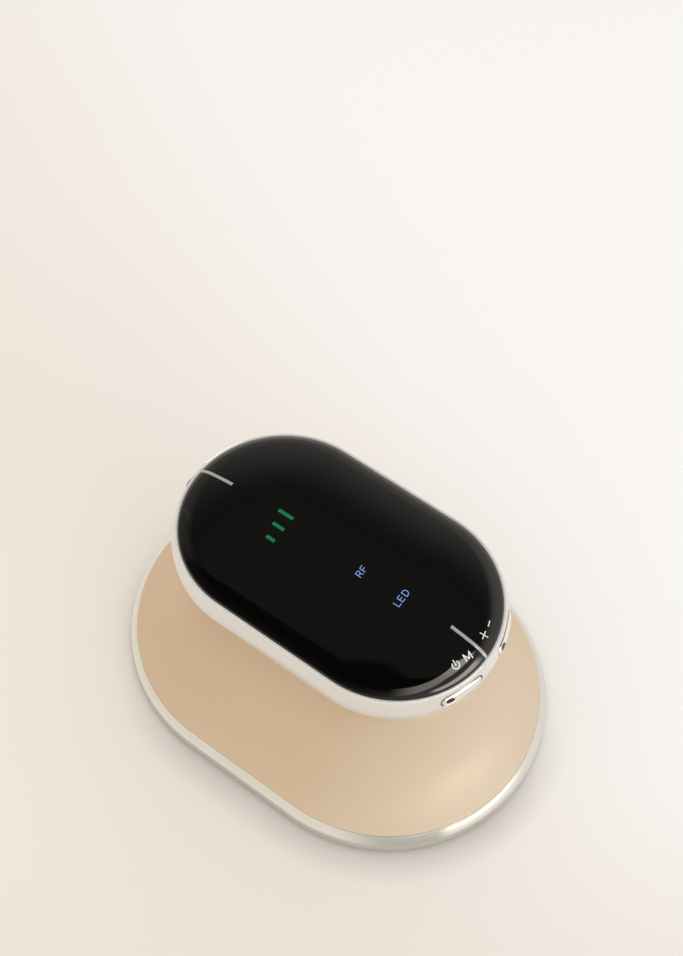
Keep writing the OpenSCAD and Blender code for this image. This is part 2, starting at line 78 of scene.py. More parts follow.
# %% [markdown]
# Camera
# The photograph looks down from about 59 degrees and turned 35 degrees, with a slight roll. Its
# place and focal length could be found by eye, but they were solved from the outlines of the
# cover, the band and the ring, which lie at known heights. Places are in mm, lens and sensor too.

# %% Place the camera
camera_place = Vector((89.0, -128.71, 362.28))
camera_turn = math.radians(34.6)
camera_height = math.radians(59.31)
camera_roll = math.radians(1.53)
camera_lens = 53.47
sensor_side = 36

camera = bpy.data.objects.new("camera", bpy.data.cameras.new("camera"))
bpy.context.scene.collection.objects.link(camera)
bpy.context.scene.camera = camera
camera_back = Vector((
    math.sin(camera_turn) * math.cos(camera_height),
    -math.cos(camera_turn) * math.cos(camera_height),
    math.sin(camera_height),
))
level_right = Vector((math.cos(camera_turn), math.sin(camera_turn), 0))
level_up = camera_back.cross(level_right)
camera_right = level_right * math.cos(camera_roll) + level_up * math.sin(camera_roll)
camera_up = camera_back.cross(camera_right)
placed = Matrix((camera_right, camera_up, camera_back)).transposed().to_4x4()
placed.translation = camera_place * MM
camera.matrix_world = placed
camera.data.sensor_fit = "VERTICAL"
camera.data.sensor_width = sensor_side
camera.data.sensor_height = sensor_side
camera.data.lens = camera_lens
camera.data.clip_start = 0.01
camera.data.clip_end = 20
print("camera looks down by degrees:", round(math.degrees(camera_height), 1))

# %% [markdown]
# Node helper
# Every material, the world and the Geometry Nodes trees are written with one small function: it
# adds a node, sets the inputs that are numbers and links the inputs that are sockets. Colours are
# given as they are read on a screen and turned to the linear values that shaders count in.

# %% Add a node


def add(tree, kind, inputs=None, **settings):
    """Adds a node. An input given as a socket is linked, any other value is set."""
    made = tree.nodes.new(kind)
    for key, value in settings.items():
        setattr(made, key, value)
    for key, value in (inputs or {}).items():
        if isinstance(value, bpy.types.NodeSocket):
            tree.links.new(value, made.inputs[key])
        else:
            made.inputs[key].default_value = value
    return made


def rgb(red, green, blue):
    """A colour as read on the screen, 0 to 255, turned to the linear values shaders use."""
    linear = [
        v / 255 / 12.92 if v <= 10 else ((v / 255 + 0.055) / 1.055) ** 2.4
        for v in (red, green, blue)
    ]
    return (*linear, 1)


# %% [markdown]
# Soft steps and maths
# Patterns and skies are sums and products of simple ramps. They could be wired by hand in the node
# editor, but a few one-line helpers keep them as readable as a formula: a soft step between two
# values, one math node, the reach along a direction and a blend of two colours.

# %% Soft steps and maths


def between(tree, value, start, end, low=0.0, high=1.0):
    """A soft step from low to high while the value goes from start to end."""
    return add(tree, "ShaderNodeMapRange", {
        "Value": value, "From Min": start, "From Max": end, "To Min": low, "To Max": high,
    }, interpolation_type="SMOOTHSTEP").outputs["Result"]


def maths(tree, operation, *values):
    """One math node with its inputs in order."""
    return add(tree, "ShaderNodeMath", dict(enumerate(values)), operation=operation).outputs["Value"]


def reach_along(tree, vector, direction):
    """How far a vector reaches along a direction."""
    dot = add(tree, "ShaderNodeVectorMath", {0: vector, 1: direction}, operation="DOT_PRODUCT")
    return dot.outputs["Value"]


def blend(tree, share, first, second):
    """The first colour at share 0, the second at share 1."""
    return add(tree, "ShaderNodeMixRGB", {
        "Fac": share, "Color1": first, "Color2": second,
    }).outputs["Color"]


def own_place(tree):
    """The place on the object itself, in metres."""
    return add(tree, "ShaderNodeTexCoord").outputs["Object"]


# %% [markdown]
# Cream sheet The object stands on a pale sheet. Three drifts of the sheet's colour by place paint
# shade on it: painted shade that is also yellower towards the near left, painted shade at the lower
# right, and a painted shadow beside the ring's near side that widens the object's contact shadow.
# They stay put from every angle, and the object's own shadow falls on top.

# %% Floor
sheet_half = 3.0
far_way = (0.45, 0.9, 0)
lower_right_way = (0.64, -0.77, 0)
near_way = (0.5, -0.86, 0)
# painted shade on the sheet: darker and yellower towards the near left, darker at the lower right, and a
# painted shadow beside the ring
warm_shade_tone = rgb(232, 225, 216)
corner_shade_tone = rgb(225, 217, 207)
shade_tone = rgb(212, 206, 199)
shade_reach = 10
shade_core = 0.5


def painted_shadow_share(tree, place):
    """Where the painted shadow lies: a share that is 1 beside the ring's near side and falls to 0 a little
    further out.
    """
    split = add(tree, "ShaderNodeSeparateXYZ", {"Vector": place})
    along = maths(tree, "ABSOLUTE", split.outputs["X"])
    past = maths(tree, "MAXIMUM", maths(tree, "SUBTRACT", along, half * MM), 0)
    across = maths(tree, "MULTIPLY", split.outputs["Y"], split.outputs["Y"])
    reach = maths(tree, "SQRT", maths(tree, "MULTIPLY_ADD", past, past, across))
    close = between(tree, reach, (ring_r + shade_reach) * MM, (ring_r + shade_core) * MM)
    outward = add(tree, "ShaderNodeVectorMath", {0: place}, operation="NORMALIZE").outputs["Vector"]
    near = between(tree, reach_along(tree, outward, near_way), 0.05, 0.75)
    return maths(tree, "MULTIPLY", close, near)


def build_floor():
    """One large square face with the sheet's material."""
    mesh = bpy.data.meshes.new("floor")
    corners = [(-1, -1), (1, -1), (1, 1), (-1, 1)]
    mesh.from_pydata([(x * sheet_half, y * sheet_half, 0) for x, y in corners], [], [(0, 1, 2, 3)])
    floor = bpy.data.objects.new("floor", mesh)
    bpy.context.scene.collection.objects.link(floor)
    material = bpy.data.materials.new("cream_sheet")
    material.use_nodes = True
    tree = material.node_tree
    shader = tree.nodes["Principled BSDF"]
    place = own_place(tree)
    mottle = add(tree, "ShaderNodeTexNoise", {"Vector": place, "Scale": 6.0, "Detail": 3.0})
    sheet = blend(tree, mottle.outputs["Fac"], rgb(239, 237, 236), rgb(241, 239, 238))
    # painted shade, darker and yellower towards the near left
    warm_shade_share = between(tree, reach_along(tree, place, far_way), 0.11, -0.07)
    sheet = blend(tree, warm_shade_share, sheet, warm_shade_tone)
    # painted shade at the lower right
    corner = between(tree, reach_along(tree, place, lower_right_way), 0.03, 0.13)
    sheet = blend(tree, corner, sheet, corner_shade_tone)
    # painted shadow beside the ring's near side
    sheet = blend(tree, painted_shadow_share(tree, place), sheet, shade_tone)
    tree.links.new(sheet, shader.inputs["Base Color"])
    shader.inputs["Roughness"].default_value = 0.8
    shader.inputs["Specular IOR Level"].default_value = 0.1
    mesh.materials.append(material)


build_floor()
print("sheet side in metres:", 2 * sheet_half)

# %% [markdown]
# Room for reflections
# Gloss and chrome are only as good as what they reflect. A photographed room would be an image,
# so this one is a formula of the direction: a horizon that is bright on the far side and dark on
# the near one, a dim ceiling, and two long soft boxes on the right that draw the pale streaks on
# the black cover. Turn is the compass angle and rise the height above the horizon, in degrees.

# %% Mirrored room
# How bright the horizon is, by compass angle: the far side is open, the near side dark.
HORIZON = [
    (-180, 0.32), (-163, 0.28), (-149, 0.09), (-100, 0.07), (-83, 0.17), (-60, 0.42),
    (-40, 0.85), (-20, 1.25), (10, 1.1), (28, 0.45), (45, 0.3), (65, 0.5), (85, 1.0),
    (105, 1.65), (136, 0.85), (180, 0.32),
]
horizon_peak = 2


def horizon_glow(tree, turn, rise):
    """The horizon's brightness round the compass, fading out towards the ceiling."""
    share = add(tree, "ShaderNodeMapRange", {"Value": turn, "From Min": -180, "From Max": 180})
    ramp = add(tree, "ShaderNodeValToRGB", {"Fac": share.outputs["Result"]})
    stops = ramp.color_ramp.elements
    for i, (angle, level) in enumerate(HORIZON):
        stop = stops[i] if i < 2 else stops.new(0.5)
        grey = level / horizon_peak
        stop.position = (angle + 180) / 360
        stop.color = (grey, grey, grey, 1)
    return maths(tree, "MULTIPLY", ramp.outputs["Color"], between(tree, rise, 53, 23, 0, horizon_peak))


def dim_ceiling(tree, x, y, rise):
    """A dim ceiling that starts along a slanted edge over the middle of the room."""
    edge = maths(tree, "MULTIPLY_ADD", maths(tree, "MINIMUM", x, 0.0), -0.59, y)
    level = between(tree, edge, -0.06, 0.01, 0.03, 0.16)
    return maths(tree, "MULTIPLY", level, between(tree, rise, 40, 62, 0.5, 1))


def upper_box(tree, turn, rise):
    """A soft box whose top edge climbs to the right; its left end is dimmer and hangs lower."""
    top_line = maths(tree, "MULTIPLY_ADD", turn, 0.13, 60.0)
    top = maths(tree, "SUBTRACT", rise, top_line)
    foot_line = maths(tree, "MULTIPLY_ADD", maths(tree, "MINIMUM", turn, -5.0), 0.3, 46.5)
    foot = maths(tree, "SUBTRACT", rise, foot_line)
    box = maths(tree, "MULTIPLY", between(tree, top, 1, -1), between(tree, foot, -3, 3))
    left = between(tree, turn, -60, -28, 0, 3.2)
    right = between(tree, turn, -22, 30, 0, 3.3)
    box = maths(tree, "MULTIPLY", box, maths(tree, "ADD", left, right))
    return maths(tree, "MULTIPLY", box, between(tree, turn, 33, 24))


def lower_box(tree, turn, rise):
    """A soft box low on the right, brightest along its top edge."""
    box = maths(tree, "MULTIPLY", between(tree, rise, 32, 29.5), between(tree, rise, 4, 26, 1.5, 7))
    box = maths(tree, "MULTIPLY", box, between(tree, turn, -27, -18))
    return maths(tree, "MULTIPLY", box, between(tree, turn, 24, 14))


def mirrored_light(tree, way):
    """The room that polished surfaces reflect, as one brightness for each direction."""
    split = add(tree, "ShaderNodeSeparateXYZ", {"Vector": way})
    x = split.outputs["X"]
    y = split.outputs["Y"]
    turn = maths(tree, "DEGREES", maths(tree, "ARCTAN2", y, x))
    rise = maths(tree, "DEGREES", maths(tree, "ARCSINE", split.outputs["Z"]))
    room = maths(tree, "ADD", horizon_glow(tree, turn, rise), dim_ceiling(tree, x, y, rise))
    boxes = maths(tree, "ADD", upper_box(tree, turn, rise), lower_box(tree, turn, rise))
    return maths(tree, "ADD", room, boxes)


print("horizon stops:", len(HORIZON))

# %% [markdown]
# Sky and lamp
# Three kinds of ray see three skies. Glossy rays see the room above, camera rays see the plain
# background, and all others see a smooth sky that is brightest overhead, which lights the object
# at a plain level. One low area lamp on the right gives the flared foot its soft bright side; it
# is hidden from glossy rays, so that it adds no streak of its own.

# %% World and lamp
daylight = rgb(255, 253, 250)
sky_level = 0.63
sky_lean = (-0.14, 0.05, 0.62)


def build_sky():
    """The world, with its own light for glossy rays, for camera rays and for all others."""
    world = bpy.data.worlds.new("studio")
    bpy.context.scene.world = world
    world.use_nodes = True
    tree = world.node_tree
    tree.nodes.clear()
    way = add(tree, "ShaderNodeTexCoord").outputs["Generated"]
    ray = add(tree, "ShaderNodeLightPath")
    mirrored = add(tree, "ShaderNodeBackground", {
        "Color": rgb(252, 246, 236), "Strength": mirrored_light(tree, way),
    })
    level = maths(tree, "ADD", reach_along(tree, way, sky_lean), sky_level)
    even = add(tree, "ShaderNodeBackground", {"Color": daylight, "Strength": level})
    plain = add(tree, "ShaderNodeBackground", {"Color": rgb(246, 241, 236), "Strength": 1.0})
    lit = add(tree, "ShaderNodeMixShader", {
        0: ray.outputs["Is Glossy Ray"], 1: even.outputs[0], 2: mirrored.outputs[0],
    })
    shown = add(tree, "ShaderNodeMixShader", {
        0: ray.outputs["Is Camera Ray"], 1: lit.outputs[0], 2: plain.outputs[0],
    })
    add(tree, "ShaderNodeOutputWorld", {"Surface": shown.outputs[0]})


def soft_box(name, turn, height, wide, high, radiance):
    """An area lamp one metre away; its place and its size as seen are in degrees."""
    data = bpy.data.lights.new(name, "AREA")
    data.shape = "RECTANGLE"
    data.size = 2 * math.tan(math.radians(wide) / 2)
    data.size_y = 2 * math.tan(math.radians(high) / 2)
    data.energy = radiance * math.pi * data.size * data.size_y
    data.color = rgb(224, 240, 255)[:3]
    lamp = bpy.data.objects.new(name, data)
    bpy.context.scene.collection.objects.link(lamp)
    turn = math.radians(turn)
    height = math.radians(height)
    level = math.cos(height)
    way = Vector((math.cos(turn) * level, math.sin(turn) * level, math.sin(height)))
    lamp.location = way + Vector((0, 0, 0.05))
    lamp.rotation_euler = way.to_track_quat("Z", "Y").to_euler()
    lamp.visible_glossy = False
    return lamp


build_sky()
low_lamp = soft_box("low_soft_box", turn=-18, height=21, wide=46, high=22, radiance=2.1)
print("lamp power in watts:", round(low_lamp.data.energy, 2))

# %% [markdown]
# Shell helpers
# A stadium shell is a profile (distance from the long centre line, height) carried round the
# outline. Pieces that reach the centre line or have windows are made in mesh code here; rings
# that only follow the outline are made by Geometry Nodes further down. Every helper returns its
# points in millimetres and its faces, so that shells can be joined before they become a mesh.

# %% Arcs and stops round the outline
ARC_STEP = 1.5
STRAIGHT_PARTS = 14


def arc(mid, radius, start, end, count):
    """Points of an arc. Angles are in degrees from straight up towards outwards."""
    return [
        (mid[0] + radius * math.sin(math.radians(start + (end - start) * i / count)),
         mid[1] + radius * math.cos(math.radians(start + (end - start) * i / count)))
        for i in range(count + 1)
    ]


def stadium_stations():
    """Stops round the outline: where the local centre is along X, and the outward angle."""
    steps = round(180 / ARC_STEP)
    right = [(half, -90 + ARC_STEP * i) for i in range(steps + 1)]
    left = [(-half, 90 + ARC_STEP * i) for i in range(steps + 1)]
    along = [half - 2 * half * i / STRAIGHT_PARTS for i in range(1, STRAIGHT_PARTS)]
    return right + [(x, 90) for x in along] + left + [(-x, 270) for x in along]


STATIONS = stadium_stations()
print("stops round the outline:", len(STATIONS))

# %% Swept, turned and joined shells


def on_outline(station, rho, z):
    """The point at a stop, a distance from the centre line and a height."""
    centre, angle = station
    turn = math.radians(angle)
    return (centre + rho * math.cos(turn), rho * math.sin(turn), z)


def swept(profile):
    """Carries a profile that starts and ends on the centre line round the stadium."""
    points = [on_outline(s, rho, z) for s in STATIONS for rho, z in profile]
    rows = len(profile)
    stops = len(STATIONS)
    faces = []
    for i in range(stops):
        here = i * rows
        there = (i + 1) % stops * rows
        faces += [(here + j, there + j, there + j + 1, here + j + 1) for j in range(rows - 1)]
    return points, faces


def turned(profile, place=(0, 0), sides=32):
    """A lathe shape about an upright axis. A profile point on the axis has radius 0."""
    rows = len(profile)
    points = [
        (place[0] + r * math.cos(math.tau * i / sides), place[1] + r * math.sin(math.tau * i / sides), z)
        for i in range(sides) for r, z in profile
    ]
    faces = []
    for i in range(sides):
        here = i * rows
        there = (i + 1) % sides * rows
        for j in range(rows):
            up = (j + 1) % rows
            if profile[j][0] or profile[up][0]:
                faces.append((here + j, there + j, there + up, here + up))
    return points, faces


def ring_faces(rings, sides, last_cap=True):
    """Faces between closed rings of points that follow one another, and a cap at each end."""
    faces = []
    for r in range(rings - 1):
        a = r * sides
        b = a + sides
        faces += [(a + k, a + (k + 1) % sides, b + (k + 1) % sides, b + k) for k in range(sides)]
    faces.append(tuple(range(sides)))
    if last_cap:
        faces.append(tuple((rings - 1) * sides + k for k in range(sides)))
    return faces


def tube(place, outer, inner, low, high):
    """An upright tube round a place."""
    return turned([(inner, low), (outer, low), (outer, high), (inner, high)], place)


def block(low, high):
    """A box from its lowest and highest corner."""
    points = [(x, y, z) for x in (low[0], high[0]) for y in (low[1], high[1]) for z in (low[2], high[2])]
    faces = [(0, 1, 3, 2), (4, 6, 7, 5), (0, 4, 5, 1), (2, 3, 7, 6), (0, 2, 6, 4), (1, 5, 7, 3)]
    return points, faces


def joined(shells):
    """Several closed shells as one list of points and faces."""
    points = []
    faces = []
    for shell_points, shell_faces in shells:
        start = len(points)
        points += shell_points
        faces += [tuple(start + k for k in face) for face in shell_faces]
    return points, faces


# %% [markdown]
# From shell to piece
# A mesh built from rings has doubled points at its poles and faces that may point inwards. Both
# are mended before anything else reads the mesh: doubles are merged, and the normals turned
# outwards. Edges sharper than a given angle stay sharp, so that flat faces meet in a clean line.
# The last step says which body the piece rides on and which solids it stands for.

# %% Make and settle a piece
DOUBLES_WITHIN = 0.002
THINNEST = 0.001


def smooth(mesh, sharp):
    """Smooth faces with sharp edges where two faces meet at more than an angle in degrees."""
    for polygon in mesh.polygons:
        polygon.use_smooth = True
    mesh.set_sharp_from_angle(angle=math.radians(sharp))


def make_piece(name, shell, material, sharp=35):
    """A closed mesh from points in millimetres, with doubles merged and faces outwards."""
    points, faces = shell
    mesh = bpy.data.meshes.new(name)
    mesh.from_pydata([Vector(p) * MM for p in points], [], faces)
    built = bmesh.new()
    built.from_mesh(mesh)
    bmesh.ops.remove_doubles(built, verts=built.verts, dist=DOUBLES_WITHIN * MM)
    bmesh.ops.dissolve_degenerate(built, edges=built.edges, dist=THINNEST * MM)
    bmesh.ops.recalc_face_normals(built, faces=built.faces)
    built.to_mesh(mesh)
    open_edges = sum(1 for edge in built.edges if not edge.is_manifold)
    built.free()
    smooth(mesh, sharp)
    mesh.materials.append(material)
    made = bpy.data.objects.new(name, mesh)
    bpy.context.scene.collection.objects.link(made)
    print(name, len(mesh.polygons), "faces,", open_edges, "open edges")
    return made


def settle(made, body, slot, *nodes):
    """The piece rides on its body and stands for its CAD nodes; its slot, the finish's name, is not used.
    """
    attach(made, body)
    if nodes:
        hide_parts(*nodes)


# %% [markdown]
# Finish helper
# No surface of the real object is one flat colour: moulded parts have a fine spark-eroded grain,
# polished ones a faint waviness, paint has flakes. One function mixes two close colours by a soft
# noise, spreads the roughness by a second and adds a fine bump. Numbers that are the same all
# over are set on the shader's own sockets, so that an exported model keeps them.

# %% Finish helper


def finish(name, colour, second, patch=60, roughness=0.4, spread=0.05, grain=0.0, grain_scale=4000,
           stretch=(1, 1, 1), **sockets):
    """A material with two close colours, uneven roughness and a fine bump. Scales are per metre."""
    material = bpy.data.materials.new(name)
    material.use_nodes = True
    tree = material.node_tree
    shader = tree.nodes["Principled BSDF"]
    place = own_place(tree)
    pulled = add(tree, "ShaderNodeMapping", {"Vector": place, "Scale": stretch})
    drift = add(tree, "ShaderNodeTexNoise", {
        "Vector": place, "Scale": patch, "Detail": 4.0, "Roughness": 0.55,
    })
    mixed = blend(tree, drift.outputs["Fac"], colour, second)
    tree.links.new(mixed, shader.inputs["Base Color"])
    fine = add(tree, "ShaderNodeTexNoise", {
        "Vector": pulled.outputs["Vector"], "Scale": grain_scale, "Detail": 3.0,
    })
    rough = add(tree, "ShaderNodeMapRange", {
        "Value": fine.outputs["Fac"], "From Min": 0.3, "From Max": 0.7,
        "To Min": max(roughness - spread, 0.01), "To Max": roughness + spread,
    })
    tree.links.new(rough.outputs["Result"], shader.inputs["Roughness"])
    if grain:
        bump = add(tree, "ShaderNodeBump", {
            "Height": fine.outputs["Fac"], "Strength": 1.0, "Distance": grain * MM,
        })
        tree.links.new(bump.outputs["Normal"], shader.inputs["Normal"])
    for socket, value in sockets.items():
        shader.inputs[socket.replace("_", " ")].default_value = value
    return material


def paint_over(material, share, colour):
    """Lays a second colour over the base colour of a finish wherever the share is 1."""
    tree = material.node_tree
    base = tree.nodes["Principled BSDF"].inputs["Base Color"]
    tree.links.new(blend(tree, share, base.links[0].from_socket, colour), base)


def painted_light_drift(material, direction, start, end, colour):
    """Paints light or shade into the base colour: lets it drift to another one along a direction, from
    start to end in mm.
    """
    tree = material.node_tree
    along = reach_along(tree, own_place(tree), direction)
    paint_over(material, between(tree, along, start * MM, end * MM), colour)


def by_height(material, socket, start, end, low, high):
    """Sets a number by height: low below start, high above end, both in mm."""
    tree = material.node_tree
    height = add(tree, "ShaderNodeSeparateXYZ", {"Vector": own_place(tree)}).outputs["Z"]
    value = between(tree, height, start * MM, end * MM, low, high)
    tree.links.new(value, tree.nodes["Principled BSDF"].inputs[socket])


# %% [markdown]
# Gloss cover, strips and polished metal
# The cover is black gloss plastic: almost no colour of its own, only a clear reflection. The band
# is plated and polished. As a pure mirror it would go black wherever the room is dark, and the
# photograph shows it pale all round, so it is part mirror and part pale metal paint, and its thin
# lip is paler still. The strips are brushed metal under clear lacquer, the keys a full mirror.

# %% Finishes of the head
cover_black = finish(
    "cover_black", rgb(2, 2, 2), rgb(3, 3, 2), patch=25, roughness=0.035, spread=0.012,
    grain=0.0004, grain_scale=260, IOR=1.5,
)
inlay_silver = finish(
    "inlay_silver", rgb(160, 160, 161), rgb(154, 154, 155), patch=900, roughness=0.4, spread=0.03,
    grain=0.0004, grain_scale=9000, stretch=(0.15, 1, 1),
    Coat_Weight=1.0, Coat_Roughness=0.1, Coat_IOR=1.8,
)
trim_chrome = finish(
    "trim_chrome", rgb(232, 229, 223), rgb(226, 223, 218), patch=80, roughness=0.055, spread=0.02,
    grain_scale=900,
)
by_height(trim_chrome, "Metallic", 59.1, 59.3, 0.6, 0.2)
key_chrome = finish(
    "key_chrome", rgb(243, 240, 234), rgb(236, 233, 228), patch=300, roughness=0.05, spread=0.02,
    grain=0.0004, grain_scale=1500, Metallic=1.0,
)
print("finishes of the head:", cover_black.name, inlay_silver.name, trim_chrome.name, key_chrome.name)

# %% [markdown]
# Champagne body and pearl ring
# The body is satin paint. Beside its grain, light and shade are painted into its tone, as the
# photograph shows: a painted sheen makes it paler towards the key end, painted shade makes it deeper
# high up at the other end, and a painted highlight makes it palest just under the keys. The ring is
# pearl paint with a clear coat that thins out down its wall. Light and shade are painted into it
# too: a slanted stripe of painted dark reflection crosses its near side below the keys, painted
# shade runs along its low wall all round, and a little painted shade lies at the key end. A painted
# picture could carry all this; one colour drift for each stays sharp at any distance.

# %% Finishes of the body and the ring
body_champagne = finish(
    "body_champagne", rgb(214, 188, 156), rgb(211, 185, 153), patch=18, roughness=0.4, spread=0.05,
    grain=0.0025, grain_scale=7000, IOR=1.46,
)
# painted sheen: paler towards the key end
painted_light_drift(body_champagne, (1, 0, 0), 5, 58, rgb(216, 197, 172))
# painted shade: deeper high up towards the socket end and the near side
painted_light_drift(body_champagne, (-0.6, -0.5, 1), 22, 62, rgb(205, 178, 147))
# painted highlight: palest just under the keys
painted_light_drift(body_champagne, (0.7, -0.3, 0.6), 49, 56, rgb(229, 208, 181))
ring_satin = finish(
    "ring_satin", rgb(226, 221, 208), rgb(222, 216, 202), patch=40, roughness=0.4, spread=0.05,
    grain=0.0015, grain_scale=9000, Coat_Roughness=0.08, Coat_IOR=1.7,
)
# painted dark reflection: a slanted stripe across the near side below the keys
painted_light_drift(ring_satin, (0.77, 0.64, 0), -6, 12, rgb(170, 166, 157))
# the painted dark reflection ends here and the ring is pale again
painted_light_drift(ring_satin, (0.77, 0.64, 0), 21.5, 27, rgb(224, 219, 206))
# painted shade along the low wall all round
painted_light_drift(ring_satin, (0, 0, 1), 4.9, 3.9, rgb(186, 179, 166))
# painted shade at the key end
painted_light_drift(ring_satin, (0.8, 0.6, 0), 36, 52, rgb(208, 204, 194))
by_height(ring_satin, "Coat Weight", 4.2, 5.4, 0.15, 0.9)
print("finishes of the outside:", body_champagne.name, ring_satin.name)

# %% [markdown]
# Black cover
# On the object this is a shallow glossy dome with a tighter shoulder and a small round edge. The
# same three arcs as in the construction make it, sampled finely so that reflections run smoothly,
# and a second set makes the inner wall. A subdivided box would bulge where it should run straight.
# Four screw posts hang from its underside.

# %% Cover curves
dome_r = 85
dome_rho = 21.6
shoulder_r = 9
edge_r = 1.2
cover_wall = 1.6
cover_low = 58.45
post_spots = [(sx * 24, sy * 12) for sx in (-1, 1) for sy in (-1, 1)]
post_r = 2.3
post_bore = 1.04
post_high = 62.4
dome_angle = math.degrees(math.asin(dome_rho / dome_r))
dome_mid = top_z - dome_r
shoulder_rho = dome_rho - shoulder_r * math.sin(math.radians(dome_angle))
shoulder_z = dome_mid + (dome_r - shoulder_r) * math.cos(math.radians(dome_angle))
edge_angle = math.degrees(math.asin((cover_r - edge_r - shoulder_rho) / (shoulder_r - edge_r)))
edge_z = shoulder_z + (shoulder_r - edge_r) * math.cos(math.radians(edge_angle))
shoulder_end = shoulder_rho + shoulder_r * math.sin(math.radians(edge_angle))
print("dome ends at degrees", round(dome_angle, 2), "and shoulder at", round(edge_angle, 2))


def cover_curve(grow, fine=1):
    """The outside of the cover from the middle to the edge, moved outwards by grow."""
    return (
        arc((0, dome_mid), dome_r + grow, 0, dome_angle, 28 * fine)
        + arc((shoulder_rho, shoulder_z), shoulder_r + grow, dome_angle, edge_angle, 20 * fine)[1:]
        + arc((cover_r - edge_r, edge_z), edge_r + grow, edge_angle, 90, 8 * fine)[1:]
    )


def cover_height(x, y):
    """Height of the cover above a place, and how far its surface tips there, in degrees."""
    rho = math.hypot(x - min(max(x, -half), half), y)
    if rho <= dome_rho:
        return dome_mid + math.sqrt(dome_r ** 2 - rho ** 2), math.degrees(math.asin(rho / dome_r))
    across = min(rho, shoulder_end) - shoulder_rho
    tip = math.degrees(math.asin(across / shoulder_r))
    return shoulder_z + math.sqrt(shoulder_r ** 2 - across ** 2), tip


# %% Cover shell
skirt_r = cover_r - cover_wall
skirt_angle = math.degrees(math.asin((skirt_r - shoulder_rho) / (shoulder_r - cover_wall)))
cover_inside = (
    arc((0, dome_mid), dome_r - cover_wall, 0, dome_angle, 14)
    + arc((shoulder_rho, shoulder_z), shoulder_r - cover_wall, dome_angle, skirt_angle, 8)[1:]
)
cover_foot = [(cover_r, cover_low), (skirt_r, cover_low)]
cover_shell = swept(cover_curve(0) + cover_foot + cover_inside[::-1])
cover_posts = [tube(spot, post_r, post_bore, cover_low + 0.05, post_high) for spot in post_spots]
gloss_cover = make_piece("gloss_cover", joined([cover_shell] + cover_posts), cover_black, sharp=30)
settle(gloss_cover, "housing", "cover_black", "top_cover")

# %% [markdown]
# Silver strips
# Two narrow metal strips are let into the cover on its long axis and run over the shoulder into
# the lip of the band. A curve with a bevel would make them quickly, but it turns its section as it
# tips over. Here a rounded section is set square to the cover's own curve at every step, stands a
# little proud, and closes in a half circle at its inner end.

# %% Strips
inlay_start = 32.1
inlay_w = 0.9
inlay_proud = 0.12
inlay_deep = 0.5
inlay_round = 0.22
inlay_thinnest = 0.02
edge_from = edge_z + edge_r + 0.3


def strip_shell(side):
    """A bar with rounded upper edges that follows the dome outwards from inlay_start."""
    curve = [p for p in cover_curve(0, fine=2) if p[0] + half > inlay_start - inlay_w / 2]
    points = []
    rows = 12
    for rho, z in curve:
        x = rho + half
        back = inlay_start - x
        wide = inlay_w / 2
        if back > 0:
            wide = math.sqrt(max(wide ** 2 - back ** 2, inlay_thinnest ** 2))
        tip = math.radians(cover_height(x, 0)[1])
        if z <= edge_from:
            tip = math.atan2(max(rho - cover_r + edge_r, 0.001), max(z - edge_z, 0.001))
        soft = min(inlay_round, wide * 0.8)
        section = [(-wide, -inlay_deep)]
        for a in (0, 22.5, 45, 67.5, 90):
            turn = math.radians(a)
            across = -wide + soft - soft * math.cos(turn)
            section.append((across, inlay_proud - soft + soft * math.sin(turn)))
        section += [(-across, up) for across, up in section[::-1]]
        for across, up in section:
            points.append((side * (x + up * math.sin(tip)), side * across, z + up * math.cos(tip)))
    stops = len(curve)
    faces = [
        (i * rows + j, (i + 1) * rows + j, (i + 1) * rows + (j + 1) % rows, i * rows + (j + 1) % rows)
        for i in range(stops - 1) for j in range(rows)
    ]
    faces += [tuple(range(rows)), tuple((stops - 1) * rows + j for j in range(rows))]
    return points, faces


key_strip = make_piece("key_strip", strip_shell(1), inlay_silver)
settle(key_strip, "housing", "inlay_silver", "key_end_inlay")
socket_strip = make_piece("socket_strip", strip_shell(-1), inlay_silver)
settle(socket_strip, "housing", "inlay_silver", "socket_end_inlay")

# %% [markdown]
# Marks
# Lit windows show through the cover: three green level bars and the two modes, RF and LED. Four
# white prints stand over the keys: power, M for mode, plus and minus. A texture would blur close
# up and a font would bring its own letter shapes, so each is drawn with its own strokes, laid on
# the dome as thin ribbons that tip with the surface.

# %% Stroke ribbons
MARK_LIFT = 0.012
MARK_DEPTH = 0.08
MARK_STEP = 0.25
LAYER_STEP = 0.004
NARROWEST = 0.01


def dense(points, step):
    """The same polyline with more points."""
    out = [Vector(points[0])]
    for a, b in zip(points, points[1:]):
        a = Vector(a)
        b = Vector(b)
        parts = max(1, math.ceil((b - a).length / step))
        out += [a.lerp(b, i / parts) for i in range(1, parts + 1)]
    return out


